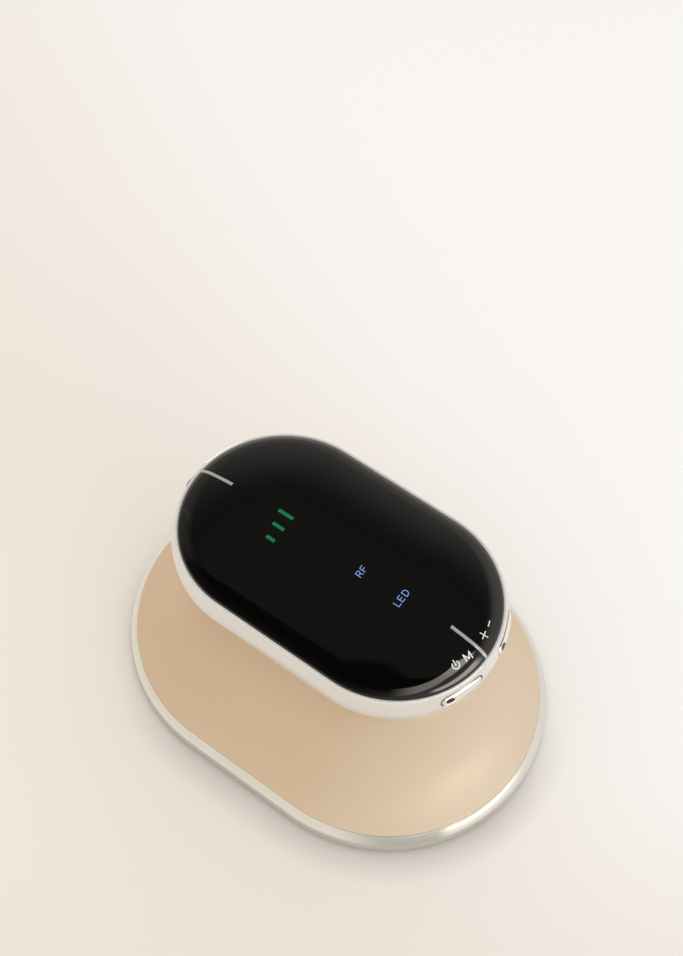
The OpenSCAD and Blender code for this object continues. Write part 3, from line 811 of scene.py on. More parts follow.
def ribbon(points, width, corner, lift=MARK_LIFT):
    """A flat ribbon on the cover along plan points, its ends rounded by a corner radius."""
    path = dense(points, MARK_STEP)
    stops = [(p, width / 2) for p in path]
    for end, ahead in ((0, 1), (-1, -2)):
        way = (path[end] - path[ahead]).normalized()
        cap = []
        for i in range(1, 7):
            turn = math.radians(15 * i)
            wide = width / 2 - corner + corner * math.cos(turn)
            cap.append((path[end] + way * (corner * math.sin(turn)), wide))
        stops = cap[::-1] + stops if end == 0 else stops + cap
    places = [p for p, wide in stops]
    verts = []
    for i, (p, wide) in enumerate(stops):
        way = (places[min(i + 1, len(places) - 1)] - places[max(i - 1, 0)]).normalized()
        across = Vector((-way.y, way.x)) * max(wide, NARROWEST)
        for rise in (lift, lift - MARK_DEPTH):
            for side in (-1, 0, 1):
                q = p + across * side
                verts.append((q.x, q.y, cover_height(q.x, q.y)[0] + rise))
    faces = []
    ring = (0, 1, 2, 5, 4, 3)
    for i in range(len(stops) - 1):
        a = i * 6
        b = a + 6
        for k in range(6):
            ahead = ring[(k + 1) % 6]
            faces.append((a + ring[k], b + ring[k], b + ahead, a + ahead))
    last = (len(stops) - 1) * 6
    faces += [ring, tuple(last + k for k in ring)]
    return verts, faces


def layered(strokes, width, corner):
    """Ribbons that lie a hair above one another, so that crossing strokes never share a face."""
    return [ribbon(s, width, corner, MARK_LIFT + LAYER_STEP * k) for k, s in enumerate(strokes)]


def placed_strokes(strokes, centre, turn, size, squeeze=1.0):
    """Strokes drawn in (right, up) turned to plan points: up points towards the middle."""
    outward = Vector((math.cos(math.radians(turn)), math.sin(math.radians(turn))))
    along = Vector((-outward.y, outward.x))
    centre = Vector(centre)
    return [
        [centre + along * (u * size) - outward * (v * size * squeeze) for u, v in stroke]
        for stroke in strokes
    ]


def bow(mid, radius, start, end, count=14):
    """Points of an arc in a stroke drawing, angles in degrees from right, anticlockwise."""
    return [
        (mid[0] + radius[0] * math.cos(math.radians(start + (end - start) * i / count)),
         mid[1] + radius[1] * math.sin(math.radians(start + (end - start) * i / count)))
        for i in range(count + 1)
    ]


# %% [markdown]
# Lit bars and modes
# Behind the cover, light comes through cut windows in a mask. Only what is lit shows, so each
# window is an emitting ribbon: green for the level, blue for the modes. The light itself is
# uneven, as it is behind any thin diffuser. Bars are given by their length and their place across.

# %% Letter strokes
letter_size = 0.82
letter_w = 0.18
# half the height of a capital letter
tall = 0.97
letter_r = [
    [(-1.55, -tall), (-1.55, tall)],
    [(-1.55, tall), (-0.85, tall)] + bow((-0.85, 0.46), (0.6, 0.51), 90, -90) + [(-1.55, -0.05)],
    [(-0.85, -0.05), (-0.2, -tall)],
]
letter_f = [[(0.55, -tall), (0.55, tall), (1.75, tall)], [(0.55, 0.05), (1.55, 0.05)]]
letter_l = [[(-2.75, tall), (-2.75, -tall), (-1.55, -tall)]]
letter_e = [[(0.25, tall), (-0.9, tall), (-0.9, -tall), (0.3, -tall)], [(-0.9, 0.03), (0.15, 0.03)]]
letter_d = [
    [(1.2, -tall), (1.2, tall)],
    [(1.2, tall), (1.75, tall)] + bow((1.75, 0), (0.92, tall), 90, -90) + [(1.2, -tall)],
]
rf_place = (7.5, -1.4)
led_place = (19.0, -1.35)
print("letter height in millimetres:", round(2 * tall * letter_size, 2))

# %% Lit windows
bar_end_x = -13.8
bar_w = 0.9
bar_round = 0.18
bars = [(4.35, 0.4), (3.35, -3.25), (2.5, -6.9)]


def glowing(name, colour, second, strength, scale):
    """A lit window: uneven light through a smoked gloss cover."""
    material = finish(name, rgb(14, 14, 14), rgb(18, 18, 18), roughness=0.05, spread=0.01)
    tree = material.node_tree
    shader = tree.nodes["Principled BSDF"]
    cloud = add(tree, "ShaderNodeTexNoise", {
        "Vector": own_place(tree), "Scale": scale, "Detail": 2.0,
    })
    light = blend(tree, cloud.outputs["Fac"], colour, second)
    tree.links.new(light, shader.inputs["Emission Color"])
    shader.inputs["Emission Strength"].default_value = strength
    return material


level_green = glowing("level_green", rgb(0, 120, 68), rgb(8, 108, 66), 1.0, 900)
mode_blue = glowing("mode_blue", rgb(134, 174, 238), rgb(120, 162, 228), 1.0, 1200)

bar_shells = [
    ribbon([(bar_end_x - length + bar_round, y), (bar_end_x - bar_round, y)], bar_w, bar_round)
    for length, y in bars
]
level_bars = make_piece("level_bars", joined(bar_shells), level_green, sharp=60)
settle(level_bars, "housing", "diffuser_film")

rf_strokes = placed_strokes(letter_r + letter_f, rf_place, 0, letter_size)
led_strokes = placed_strokes(letter_l + letter_e + letter_d, led_place, 0, letter_size)
mode_words = make_piece(
    "mode_words", joined(layered(rf_strokes + led_strokes, letter_w, letter_w / 2)),
    mode_blue, sharp=60,
)
settle(mode_words, "housing", "diffuser_film")

# %% [markdown]
# Printed key marks
# The four signs above the keys are printed, not lit, and curve round the end with the keys, so
# each has a place and a turn of its own. They lie where the cover tips down, and are drawn a
# little shorter along the slope, as a print on a curved part is.

# %% Printed signs
print_white = finish(
    "print_white", rgb(238, 238, 235), rgb(226, 227, 226), patch=2500, roughness=0.35, spread=0.05,
    grain=0.002, grain_scale=12000,
)
power_mark = [bow((0, 0), (1.03, 1.03), 130, 410, 30), [(0, 1.45), (0, -0.1)]]
mode_mark = [[(-1.02, -1.05), (-1.02, 1.1), (0, -0.75), (1.02, 1.1), (1.02, -1.05)]]
plus_mark = [[(-1.05, 0), (1.05, 0)], [(0, -1.15), (0, 1.15)]]
minus_mark = [[(-0.75, 0), (0.75, 0)]]
# strokes, middle, turn in degrees, size and stroke width of each sign
key_marks = [
    (power_mark, (37.95, -6.7), -19, 0.86, 0.25),
    (mode_mark, (38.95, -3.25), -18, 0.86, 0.25),
    (plus_mark, (39.05, 3.45), 13, 0.95, 0.23),
    (minus_mark, (38.4, 6.6), 19, 0.95, 0.24),
]
mark_shells = []
for strokes, centre, turn, size, width in key_marks:
    tip = cover_height(*centre)[1]
    flat = placed_strokes(strokes, centre, turn, size, math.cos(math.radians(tip)))
    mark_shells += layered(flat, width, width * 0.3)
printed_marks = make_piece("printed_marks", joined(mark_shells), print_white, sharp=60)
settle(printed_marks, "housing", "inlay_silver")

# %% [markdown]
# Polished band
# The band holds the head together. It is polished, so every facet would show in it: from the
# cover outwards it has a thin lip that leans in, a long round shoulder and an upright wall with
# a rounded lower edge. The section is made of arcs, with rows of points on the outer and the
# inner wall where the windows of the keys and the socket will be cut in.

# %% Band profile
band_wall = 1.65
lip_r = 0.2
lip_corner = 0.08
lip_lean = 18
lip_in = cover_r + 0.03
lip_width = 0.6
lip_end = 72
lip_foot = 58.9
round_r = 8.6
round_z = 55.05
round_start = 59.5
corner_r = 0.5
band_in = band_r - band_wall
window_rows = [58.8, 58.6, 58.4, 58.2, 58.0, 57.2, 56.4, 55.6, 54.8, 54.2, 53.6]


def band_rho(z):
    """Distance of the outer wall from the centre line at a height."""
    if z <= round_z:
        return band_r
    return band_r - round_r + math.sqrt(round_r ** 2 - (z - round_z) ** 2)


def band_profile():
    """The closed section, and where the window rows start on the outer and the inner wall."""
    lip_mid = (lip_in + lip_width - lip_r, band_high - lip_r)
    drop = math.tan(math.radians(lip_lean)) * (lip_width - lip_r - lip_corner)
    lip_top = band_high - lip_corner - drop
    round_mid = (band_r - round_r, round_z)
    first_tip = math.degrees(math.acos((window_rows[0] - round_z) / round_r))
    out = arc((lip_in + lip_corner, lip_top), lip_corner, -90, -lip_lean, 8)
    out += arc(lip_mid, lip_r, -lip_lean, lip_end, 16)
    out += arc(round_mid, round_r, round_start, first_tip, 10)[:-1]
    outer_start = len(out)
    out += [(band_rho(z), z) for z in window_rows]
    out += arc((band_r - corner_r, band_low + corner_r), corner_r, 90, 180, 8)
    out += [(band_in + 0.3, band_low), (band_in, band_low + 0.3)]
    inner_start = len(out)
    out += [(band_in, z) for z in window_rows[::-1]]
    out += [(lip_in, lip_foot)]
    return out, outer_start, inner_start


# %% [markdown]
# Windows in the band
# The wall has three capsule windows: two for the keys and one for the charging socket. A boolean
# would be quick but leaves slivers beside its cuts, and they glitter in polished metal. So the
# wall is a grid with blocks left out, and each block is filled by rings of points that close in
# on the window, roll over a small bead and run through to the inner wall.

# %% Window outlines
rocker_angle = 19.8
rocker_len = 11.3
rocker_h = 3.1
rocker_z = 56.6
slot_gap = 0.3
slot_spare = 0.1
socket_gap = 0.12
socket_z = 55.8
socket_w = 8.94
socket_h = 3.26
bead = 0.12


def station_at(angle):
    """Index of the station on a round end at an angle."""
    if angle <= 90:
        return round((angle + 90) / ARC_STEP)
    return round(180 / ARC_STEP) + STRAIGHT_PARTS + round((angle - 90) / ARC_STEP)


def window(angle, start, end, z, half_len, radius):
    """A capsule window: its middle angle, the block from start to end, and its outline."""
    return {
        "angle": angle, "first": station_at(start), "last": station_at(end),
        "centre": half if abs(angle) < 90 else -half,
        "z": z, "half_len": half_len, "radius": radius,
    }


key_half_len = (rocker_len - rocker_h) / 2 + slot_spare
key_window_r = rocker_h / 2 + slot_gap
socket_half_len = (socket_w - socket_h) / 2
socket_window_r = socket_h / 2 + socket_gap
windows = [
    window(-rocker_angle, -37.5, -3, rocker_z, key_half_len, key_window_r),
    window(rocker_angle, 3, 37.5, rocker_z, key_half_len, key_window_r),
    window(180, 165, 195, socket_z, socket_half_len, socket_window_r),
]
print("windows at degrees:", [shape["angle"] for shape in windows])


def capsule_point(shape, across, z, grow):
    """The nearest point of a window's outline, moved out by grow, to a place on the wall."""
    centre = min(max(across, -shape["half_len"]), shape["half_len"])
    way = Vector((across - centre, z - shape["z"])).normalized()
    reach = shape["radius"] + grow
    return centre + way.x * reach, shape["z"] + way.y * reach


def wall_point(shape, across, z, rho, depth):
    """A place in a window's own frame, turned back to plan."""
    turn = math.radians(shape["angle"])
    out = math.sqrt(rho ** 2 - across ** 2) - depth
    return (
        shape["centre"] + out * math.cos(turn) - across * math.sin(turn),
        out * math.sin(turn) + across * math.cos(turn),
        z,
    )


# %% Band shell


def block_edge(shape):
    """Station and window row of each grid point round the block that a window leaves out."""
    first = shape["first"]
    last = shape["last"]
    last_row = len(window_rows) - 1
    return (
        [(i, 0) for i in range(first, last)]
        + [(last, k) for k in range(last_row)]
        + [(i, last_row) for i in range(last, first, -1)]
        + [(first, k) for k in range(last_row, 0, -1)]
    )


def window_rings(shape, edge):
    """Rings from the grid to the window, over its bead and back to the grid of the inner wall."""
    outer = []
    inner = []
    for i, k in edge:
        z = window_rows[k]
        swing = math.radians(STATIONS[i][1] - shape["angle"])
        outer.append((band_rho(z) * math.sin(swing), z))
        inner.append((band_in * math.sin(swing), z))

    def ring(side, share, grow, depth):
        points = []
        for across, z in side:
            edge_across, edge_z = capsule_point(shape, across, z, grow)
            there = across + (edge_across - across) * share
            height = z + (edge_z - z) * share
            rho = band_in if side is inner else band_rho(height)
            points.append(wall_point(shape, there, height, rho, depth))
        return points

    rings = [ring(outer, share, bead, 0) for share in (0.3, 0.6, 0.85)]
    rings.append(ring(outer, 1, bead + 0.04, 0))
    for step in range(7):
        swing = math.radians(15 * step)
        rings.append(ring(outer, 1, bead - bead * math.sin(swing), bead - bead * math.cos(swing)))
    rings.append(ring(inner, 1, 0, 0))
    return rings + [ring(inner, share, 0, 0) for share in (0.66, 0.33)]


def band_shell():
    """The band's grid with its blocks left out, and the rings that fill them."""
    profile, outer_start, inner_start = band_profile()
    rows = len(profile)
    points = [on_outline(s, rho, z) for s in STATIONS for rho, z in profile]
    last_row = len(window_rows) - 1
    gone = set()
    for shape in windows:
        for i in range(shape["first"], shape["last"]):
            for k in range(last_row):
                gone |= {(i, outer_start + k), (i, inner_start + k)}
    faces = []
    for i in range(len(STATIONS)):
        here = i * rows
        there = (i + 1) % len(STATIONS) * rows
        for j in range(rows):
            up = (j + 1) % rows
            if (i, j) not in gone:
                faces.append((here + j, there + j, there + up, here + up))
    for shape in windows:
        edge = block_edge(shape)
        count = len(edge)
        rings = [[i * rows + outer_start + k for i, k in edge]]
        for ring in window_rings(shape, edge):
            rings.append(list(range(len(points), len(points) + count)))
            points += ring
        rings.append([i * rows + inner_start + last_row - k for i, k in edge])
        for a, b in zip(rings, rings[1:]):
            faces += [(a[m], a[(m + 1) % count], b[(m + 1) % count], b[m]) for m in range(count)]
    return points, faces


chrome_band = make_piece("chrome_band", band_shell(), trim_chrome, sharp=38)
settle(chrome_band, "housing", "trim_chrome", "trim_band")

# %% [markdown]
# Rocker keys
# Each key is a small polished pillow in its window, and rocks on an upright pin behind its middle.
# Its face is an ellipse across, so it mirrors the bright horizon along its length and the dark
# side of the room at its rounded end. A scaled sphere would look alike from far off, but rings of
# the real capsule outline keep its straight middle. Behind it are the flange that keeps it in, the
# bored hub and two nubs that press the switches; each is a closed shell of the same piece.

# %% Key pillows
key_proud = 0.36
key_sunk = 0.2
key_follow = 0.8
capsule_half = (rocker_len - rocker_h) / 2
capsule_r = rocker_h / 2
key_low = rocker_z - capsule_r
key_high = rocker_z + capsule_r
pivot_r = 22
hub_r = 1.5
pin_bore = 0.53
flange_in = 23
flange_out = 25.3
flange_len = 13
flange_parts = 12
nub_at = 4.4
nub_in = 20.95
nub_half = 0.6


def key_frame(angle):
    """What wall_point needs to know about a key: the round end it sits on and its angle."""
    return {"angle": angle, "centre": half}


def wall_slant(z):
    """How far the band's wall has drawn in at a height, as far as a key's face follows it."""
    return key_follow * (band_r - band_rho(z))


def key_pillow(angle):
    """The visible cap: rings of the capsule outline that close in as they rise."""
    sides = 72
    outline = []
    for i in range(sides):
        swing = math.tau * (i + 0.5) / sides
        across = math.cos(swing)
        centre = capsule_half * max(-1, min(1, 1.6 * across))
        outline.append((centre, across * capsule_r, math.sin(swing) * capsule_r))
    back = band_r - flange_out + 0.15
    rings = [(1, None), (1, 0.0)]
    for step in range(1, 19):
        swing = math.radians(5 * step)
        rings.append((math.cos(swing), (key_proud + key_sunk) * math.sin(swing)))
    points = []
    for share, lift in rings:
        for centre, across, up in outline:
            z = rocker_z + up * share
            depth = back if lift is None else key_sunk - lift + wall_slant(z)
            points.append(wall_point(key_frame(angle), centre + across * share, z, band_r, depth))
    return points, ring_faces(len(rings), sides, last_cap=False)


def key_flange():
    """The curved flange behind the band's wall, in the key's own frame."""
    points = []
    for i in range(flange_parts + 1):
        y = flange_len * (i / flange_parts - 0.5)
        out = math.sqrt(flange_out ** 2 - y ** 2)
        points += [(flange_in, y, key_low), (out, y, key_low), (out, y, key_high), (flange_in, y, key_high)]
    faces = [
        (4 * i + k, 4 * i + 4 + k, 4 * i + 4 + (k + 1) % 4, 4 * i + (k + 1) % 4)
        for i in range(flange_parts) for k in range(4)
    ]
    faces += [(0, 1, 2, 3), tuple(4 * flange_parts + k for k in range(4))]
    return points, faces


def key_nub(y):
    """One of the two nubs that press the switches, in the key's own frame."""
    low = (nub_in, y - nub_half, rocker_z - nub_half)
    high = (flange_in + 0.1, y + nub_half, rocker_z + nub_half)
    return block(low, high)


def key_shell(angle):
    """Pillow, hub, flange and nubs of one key, turned to its place on the round end."""
    turn = math.radians(angle)
    hub = [(pin_bore, key_low), (hub_r, key_low), (hub_r, key_high), (pin_bore, key_high)]
    hub_place = (half + pivot_r * math.cos(turn), pivot_r * math.sin(turn))
    parts = [key_pillow(angle), turned(hub, hub_place, 40)]
    for points, faces in (key_flange(), key_nub(nub_at), key_nub(-nub_at)):
        moved = [
            (half + x * math.cos(turn) - y * math.sin(turn), x * math.sin(turn) + y * math.cos(turn), z)
            for x, y, z in points
        ]
        parts.append((moved, faces))
    return joined(parts)


# %% [markdown]
# Painted reflection dots
# Near one end of each key the photograph shows a small dark oval: the key's rounded end mirrors the
# dark side of the room there. A black dot paints that dark reflection. It could be painted on the
# key, but then it would have no edge to catch light, so it is a thin shell of its own that follows
# the pillow's face and stands a hair above it.

# %% Dot shells
dot_at = -3.7
dot_long = 1.1
dot_high = 0.78
dot_up = 0.42
dot_lift = 0.05
dot_root = 0.12
dot_rings = [1, 1, 0.97, 0.9, 0.75, 0.5, 0.25]


def key_face(across, up):
    """Depth of a key's face under the band's wall at a place in the key's frame."""
    off = math.hypot(max(-capsule_half - across, 0), up) / capsule_r
    bulge = (key_proud + key_sunk) * math.sqrt(max(1 - off ** 2, 0))
    return key_sunk - bulge + wall_slant(rocker_z + up)


def dot_shell(angle):
    """A painted dark reflection: a small dark oval on the key's face, near the end that points to -Y."""
    sides = 32
    points = []
    for k, share in enumerate(dot_rings):
        for i in range(sides):
            swing = math.tau * i / sides
            across = dot_at + dot_long * share * math.cos(swing)
            up = dot_up + dot_high * share * math.sin(swing)
            face = key_face(across, up)
            depth = face + dot_root if k == 0 else face - dot_lift * (1 - share ** 8)
            points.append(wall_point(key_frame(angle), across, rocker_z + up, band_r, depth))
    return points, ring_faces(len(dot_rings), sides)


# %% Keys and their dots
# near-black finish of the painted dark reflection on each key
painted_reflection_black = finish(
    "painted_reflection_black", rgb(3, 3, 3), rgb(6, 5, 5), patch=2000, roughness=0.08, spread=0.03,
    grain=0.002, grain_scale=9000,
)
for side, node, body in (
    (-1, "power_mode_key", "power_mode_rocker"), (1, "plus_minus_key", "plus_minus_rocker"),
):
    key = make_piece(node.replace("_key", "_cap"), key_shell(side * rocker_angle), key_chrome, sharp=40)
    settle(key, body, "key_chrome", node)
    dot = make_piece(node.replace("_key", "_dot"), dot_shell(side * rocker_angle), painted_reflection_black, sharp=50)
    settle(dot, body, "socket_black")

# %% [markdown]
# Rings made by Geometry Nodes
# The flared body and the base ring follow the stadium outline without a break, so one tree makes
# both: a circle whose two halves are pulled apart becomes the path, and the piece's own mesh, a
# flat closed profile, is swept along it. The tree's inputs are the path's radius, its half
# length, its number of steps and the material. A curve bevel would do it too, but the tree keeps
# the section upright all the way round.

# %% Stadium sweep tree


def sweep_tree():
    """The tree that sweeps a closed profile round a stadium."""
    tree = bpy.data.node_groups.new("stadium_sweep", "GeometryNodeTree")
    face = tree.interface
    face.new_socket("Profile", in_out="INPUT", socket_type="NodeSocketGeometry")
    face.new_socket("Path Radius", in_out="INPUT", socket_type="NodeSocketFloat")
    face.new_socket("Half Length", in_out="INPUT", socket_type="NodeSocketFloat")
    face.new_socket("Steps", in_out="INPUT", socket_type="NodeSocketInt")
    face.new_socket("Material", in_out="INPUT", socket_type="NodeSocketMaterial")
    face.new_socket("Shell", in_out="OUTPUT", socket_type="NodeSocketGeometry")
    given = add(tree, "NodeGroupInput").outputs
    circle = add(tree, "GeometryNodeCurvePrimitiveCircle", {
        "Resolution": given["Steps"], "Radius": given["Path Radius"],
    })
    turn = add(tree, "GeometryNodeTransform", {"Geometry": circle.outputs["Curve"]})
    step = add(tree, "ShaderNodeMath", {0: math.pi, 1: given["Steps"]}, operation="DIVIDE")
    spin = add(tree, "ShaderNodeCombineXYZ", {"Z": step.outputs["Value"]})
    tree.links.new(spin.outputs["Vector"], turn.inputs["Rotation"])
    here = add(tree, "GeometryNodeInputPosition")
    split = add(tree, "ShaderNodeSeparateXYZ", {"Vector": here.outputs["Position"]})
    side = add(tree, "ShaderNodeMath", {0: split.outputs["X"]}, operation="SIGN")
    pull = add(tree, "ShaderNodeMath", {
        0: side.outputs["Value"], 1: given["Half Length"],
    }, operation="MULTIPLY")
    shift = add(tree, "ShaderNodeCombineXYZ", {"X": pull.outputs["Value"]})
    path = add(tree, "GeometryNodeSetPosition", {
        "Geometry": turn.outputs["Geometry"], "Offset": shift.outputs["Vector"],
    })
    level = add(tree, "GeometryNodeSetCurveNormal", {"Curve": path.outputs["Geometry"]}, mode="Z_UP")
    section = add(tree, "GeometryNodeMeshToCurve", {"Mesh": given["Profile"]})
    swept_mesh = add(tree, "GeometryNodeCurveToMesh", {
        "Curve": level.outputs["Curve"], "Profile Curve": section.outputs["Curve"],
    })
    real = add(tree, "GeometryNodeRealizeInstances", {"Geometry": swept_mesh.outputs["Mesh"]})
    painted = add(tree, "GeometryNodeSetMaterial", {
        "Geometry": real.outputs["Geometry"], "Material": given["Material"],
    })
    add(tree, "NodeGroupOutput", {"Shell": painted.outputs["Geometry"]})
    return tree


# %% Run a tree


def run_tree(made, tree, values, sharp):
    """Gives an object the tree with its inputs, turns the result into its mesh, drops the tree."""
    modifier = made.modifiers.new("tree", "NODES")
    modifier.node_group = tree
    sockets = {s.name: s.identifier for s in tree.interface.items_tree if s.in_out == "INPUT"}
    for key, value in values.items():
        modifier[sockets[key]] = value
    bpy.context.view_layer.update()
    shown = made.evaluated_get(bpy.context.evaluated_depsgraph_get())
    result = bpy.data.meshes.new_from_object(shown)
    made.modifiers.clear()
    made.data = result
    built = bmesh.new()
    built.from_mesh(result)
    bmesh.ops.remove_doubles(built, verts=built.verts, dist=THINNEST * MM)
    bmesh.ops.recalc_face_normals(built, faces=built.faces)
    open_edges = sum(1 for edge in built.edges if not edge.is_manifold)
    built.to_mesh(result)
    built.free()
    smooth(result, sharp)
    print(made.name, len(result.polygons), "faces,", open_edges, "open edges")
    return made


STADIUM = sweep_tree()
PATH_R = 40
PATH_STEPS = 240


def swept_ring(name, profile, material, sharp):
    """A closed profile of (distance, height) points swept round the stadium by the tree."""
    mesh = bpy.data.meshes.new(name)
    count = len(profile)
    mesh.from_pydata(
        [((rho - PATH_R) * MM, -z * MM, 0) for rho, z in profile],
        [(i, (i + 1) % count) for i in range(count)], [],
    )
    made = bpy.data.objects.new(name, mesh)
    bpy.context.scene.collection.objects.link(made)
    return run_tree(made, STADIUM, {
        "Path Radius": PATH_R * MM, "Half Length": half * MM, "Steps": PATH_STEPS,
        "Material": material,
    }, sharp)


# %% [markdown]
# Flared body
# One long curve leaves the band, draws in to the waist where fingers hold it, and sweeps out to
# the rim. It could be pulled out of a subdivided box, but a cubic with the end points and pulls of
# the construction is exact and has no flat spots. The shell has an even wall and a flat neck plate
# with an opening for the ribbon, under the head.

# %% Flare curve
neck = Vector((26.9, 52.2))
neck_pull = Vector((19.5, 44))
rim_pull = Vector((22, 12))
rim = Vector((41.2, 6.7))
rim_low = 3.3
shell_wall = 2
neck_plate_low = 50.6
neck_opening = 15
neck_edge = 0.25
rim_r = 0.07
rim_drop = 0.06
rim_step_high = 1.9


def flare(t):
    """The outside of the body at a share of the way from the neck to the rim."""
    return (neck * (1 - t) ** 3 + neck_pull * (3 * (1 - t) ** 2 * t)
            + rim_pull * (3 * (1 - t) * t ** 2) + rim * t ** 3)


def flare_inside(t):
    """The inner wall behind the same place, square to the curve."""
    way = (flare(min(t + 0.005, 1)) - flare(max(t - 0.005, 0))).normalized()
    return flare(t) + Vector((way.y, -way.x)) * shell_wall


waist = min(flare(i / 100).x for i in range(101))
print("waist radius in millimetres:", round(waist, 2))

# %% Body shell
flare_steps = 72
outer_curve = [flare(i / flare_steps) for i in range(flare_steps + 1)]
inner_curve = [flare_inside(i / flare_steps) for i in range(flare_steps)]
inner_curve = [p for p in inner_curve if rim_low + 2.2 < p.y < neck_plate_low - 0.4]
rim_roll = arc((rim.x - rim_r, rim.y - rim_drop), rim_r, 25, 90, 4)
body_profile = (
    [(neck_opening, neck.y), (neck.x - neck_edge, neck.y)]
    + [tuple(p) for p in outer_curve[1:-1]]
    + rim_roll
    + [(rim.x, rim_low), (rim.x - shell_wall, rim_low)]
    + [(rim.x - shell_wall, rim_low + rim_step_high)]
    + [tuple(p) for p in inner_curve[::-1]]
    + [(inner_curve[0].x, neck_plate_low), (neck_opening, neck_plate_low)]
)
flared_shell = swept_ring("flared_shell", body_profile, body_champagne, sharp=40)
settle(flared_shell, "housing", "body_champagne", "body_shell")

# %% [markdown]
# Base ring
# A pale pearl ring with a clear coat closes the edge between body and treatment face. Its outline
# in the photograph is narrow on the far side and broad on the near one, which a low upright wall
# with a round-over of four millimetres explains. A plain torus would be as broad all round. A
# hairline groove marks where the ring grips the plate.

# %% Base ring
ring_in = rim.x + 0.02
ring_low = round(ring_box[0].z, 2)
ring_round = 4.0
ring_wall_high = 2.9
ring_foot = 0.7
ring_edge = 0.06
groove_z = 1.86
groove_half = 0.08
groove_floor_half = 0.04
groove_deep = 0.06
ring_mid = (ring_r - ring_round, ring_wall_high)
ring_turn = math.degrees(math.asin((ring_in + ring_edge - ring_mid[0]) / ring_round))
ring_high = ring_mid[1] + ring_round * math.cos(math.radians(ring_turn))
ring_groove = [
    (ring_r, groove_z - groove_half),
    (ring_r - groove_deep, groove_z - groove_floor_half),
    (ring_r - groove_deep, groove_z + groove_floor_half),
    (ring_r, groove_z + groove_half),
]
ring_profile = (
    [(ring_in, ring_low), (ring_r - 0.5, ring_low)]
    + arc((ring_r - ring_foot, ring_low + ring_foot), ring_foot, 165, 90, 10)
    + ring_groove
    + arc(ring_mid, ring_round, 90, ring_turn, 24)
    + arc((ring_in + ring_edge, ring_high - ring_edge), ring_edge, 10, -90, 4)
)
pearl_ring = swept_ring("pearl_ring", ring_profile, ring_satin, sharp=35)
settle(pearl_ring, "housing", "ring_satin", "base_ring")

# %% [markdown]
# Copies on points
# The underside touches the skin: four polished electrodes, a clear window with a small lens over
# each light, a temperature button and four cross-head screws. Linked copies in a loop would need
# joining later, so things that repeat are built once and copied to points by a second tree. Its
# inputs are the pattern, the turn from one copy to the next and the material.

# %% Copy tree


def copy_tree():
    """The tree that puts a copy of one object on each point."""
    tree = bpy.data.node_groups.new("copies_on_points", "GeometryNodeTree")
    face = tree.interface
    face.new_socket("Places", in_out="INPUT", socket_type="NodeSocketGeometry")
    face.new_socket("Pattern", in_out="INPUT", socket_type="NodeSocketObject")
    face.new_socket("Turn Step", in_out="INPUT", socket_type="NodeSocketFloat")
    face.new_socket("Material", in_out="INPUT", socket_type="NodeSocketMaterial")
    face.new_socket("Copies", in_out="OUTPUT", socket_type="NodeSocketGeometry")
    given = add(tree, "NodeGroupInput").outputs
    spots = add(tree, "GeometryNodeMeshToPoints", {"Mesh": given["Places"]})
    model = add(tree, "GeometryNodeObjectInfo", {"Object": given["Pattern"]})
    index = add(tree, "GeometryNodeInputIndex")
    swing = add(tree, "ShaderNodeMath", {
        0: index.outputs["Index"], 1: given["Turn Step"],
    }, operation="MULTIPLY")
    turn = add(tree, "ShaderNodeCombineXYZ", {"Z": swing.outputs["Value"]})
    copies = add(tree, "GeometryNodeInstanceOnPoints", {
        "Points": spots.outputs["Points"], "Instance": model.outputs["Geometry"],
        "Rotation": turn.outputs["Vector"],
    })
    real = add(tree, "GeometryNodeRealizeInstances", {"Geometry": copies.outputs["Instances"]})
    painted = add(tree, "GeometryNodeSetMaterial", {
        "Geometry": real.outputs["Geometry"], "Material": given["Material"],
    })
    add(tree, "NodeGroupOutput", {"Copies": painted.outputs["Geometry"]})
    return tree


COPIES = copy_tree()


def copies(name, shell, places, material, turn_step=0.0, sharp=35):
    """Copies of a shell at places in millimetres, as one mesh."""
    pattern = make_piece(name + "_pattern", shell, material, sharp)
    mesh = bpy.data.meshes.new(name)
    mesh.from_pydata([Vector(p) * MM for p in places], [], [])
    made = bpy.data.objects.new(name, mesh)
    bpy.context.scene.collection.objects.link(made)
    run_tree(made, COPIES, {
        "Pattern": pattern, "Turn Step": turn_step, "Material": material,
    }, sharp)
    bpy.data.objects.remove(pattern)
    return made


# %% [markdown]
# Electrodes
# Four shallow steel discs carry the current to the skin. A bevelled cylinder would look dead, so
# each is turned on a lathe profile: a face that is dished by a few hundredths, a fine groove near
# the rim, a rounded edge, and a pin at the back for its contact spring.

# %% Electrodes
electrode_steel = finish(
    "electrode_steel", rgb(214, 214, 213), rgb(204, 204, 203), patch=200, roughness=0.16, spread=0.06,
    grain=0.0008, grain_scale=6000, Metallic=1.0,
)
electrode_r = 9
electrode_round = 0.55
pin_r = 2.5
pin_back = 3.4
electrode_spots = [(sx * 27, sy * 19, 0) for sx in (-1, 1) for sy in (-1, 1)]
face_back = 1.65
electrode_profile = (
    [(0, 0.06), (3, 0.045), (6.6, 0.01), (7.5, 0)]
    + [(7.62, 0.02), (7.72, 0.1), (7.9, 0.13), (8.08, 0.1), (8.18, 0.02)]
    + arc((electrode_r - electrode_round, electrode_round), electrode_round, 180, 90, 9)
    + [(electrode_r, face_back), (pin_r, face_back), (pin_r, pin_back), (0, pin_back)]
)
electrodes = copies(
    "electrode_discs", turned(electrode_profile, sides=72), electrode_spots, electrode_steel, sharp=30,
)
settle(electrodes, "housing", "electrode_steel", "rf_electrodes")

# %% [markdown]
# Light window
# A clear stadium plate closes the opening over the treatment lights, with a wider flange inside.
# Each light has a small dome on the plate that spreads it. The plate is one slab of rings that
# close in on its middle line, because a scaled cylinder would stretch its rounded edge.

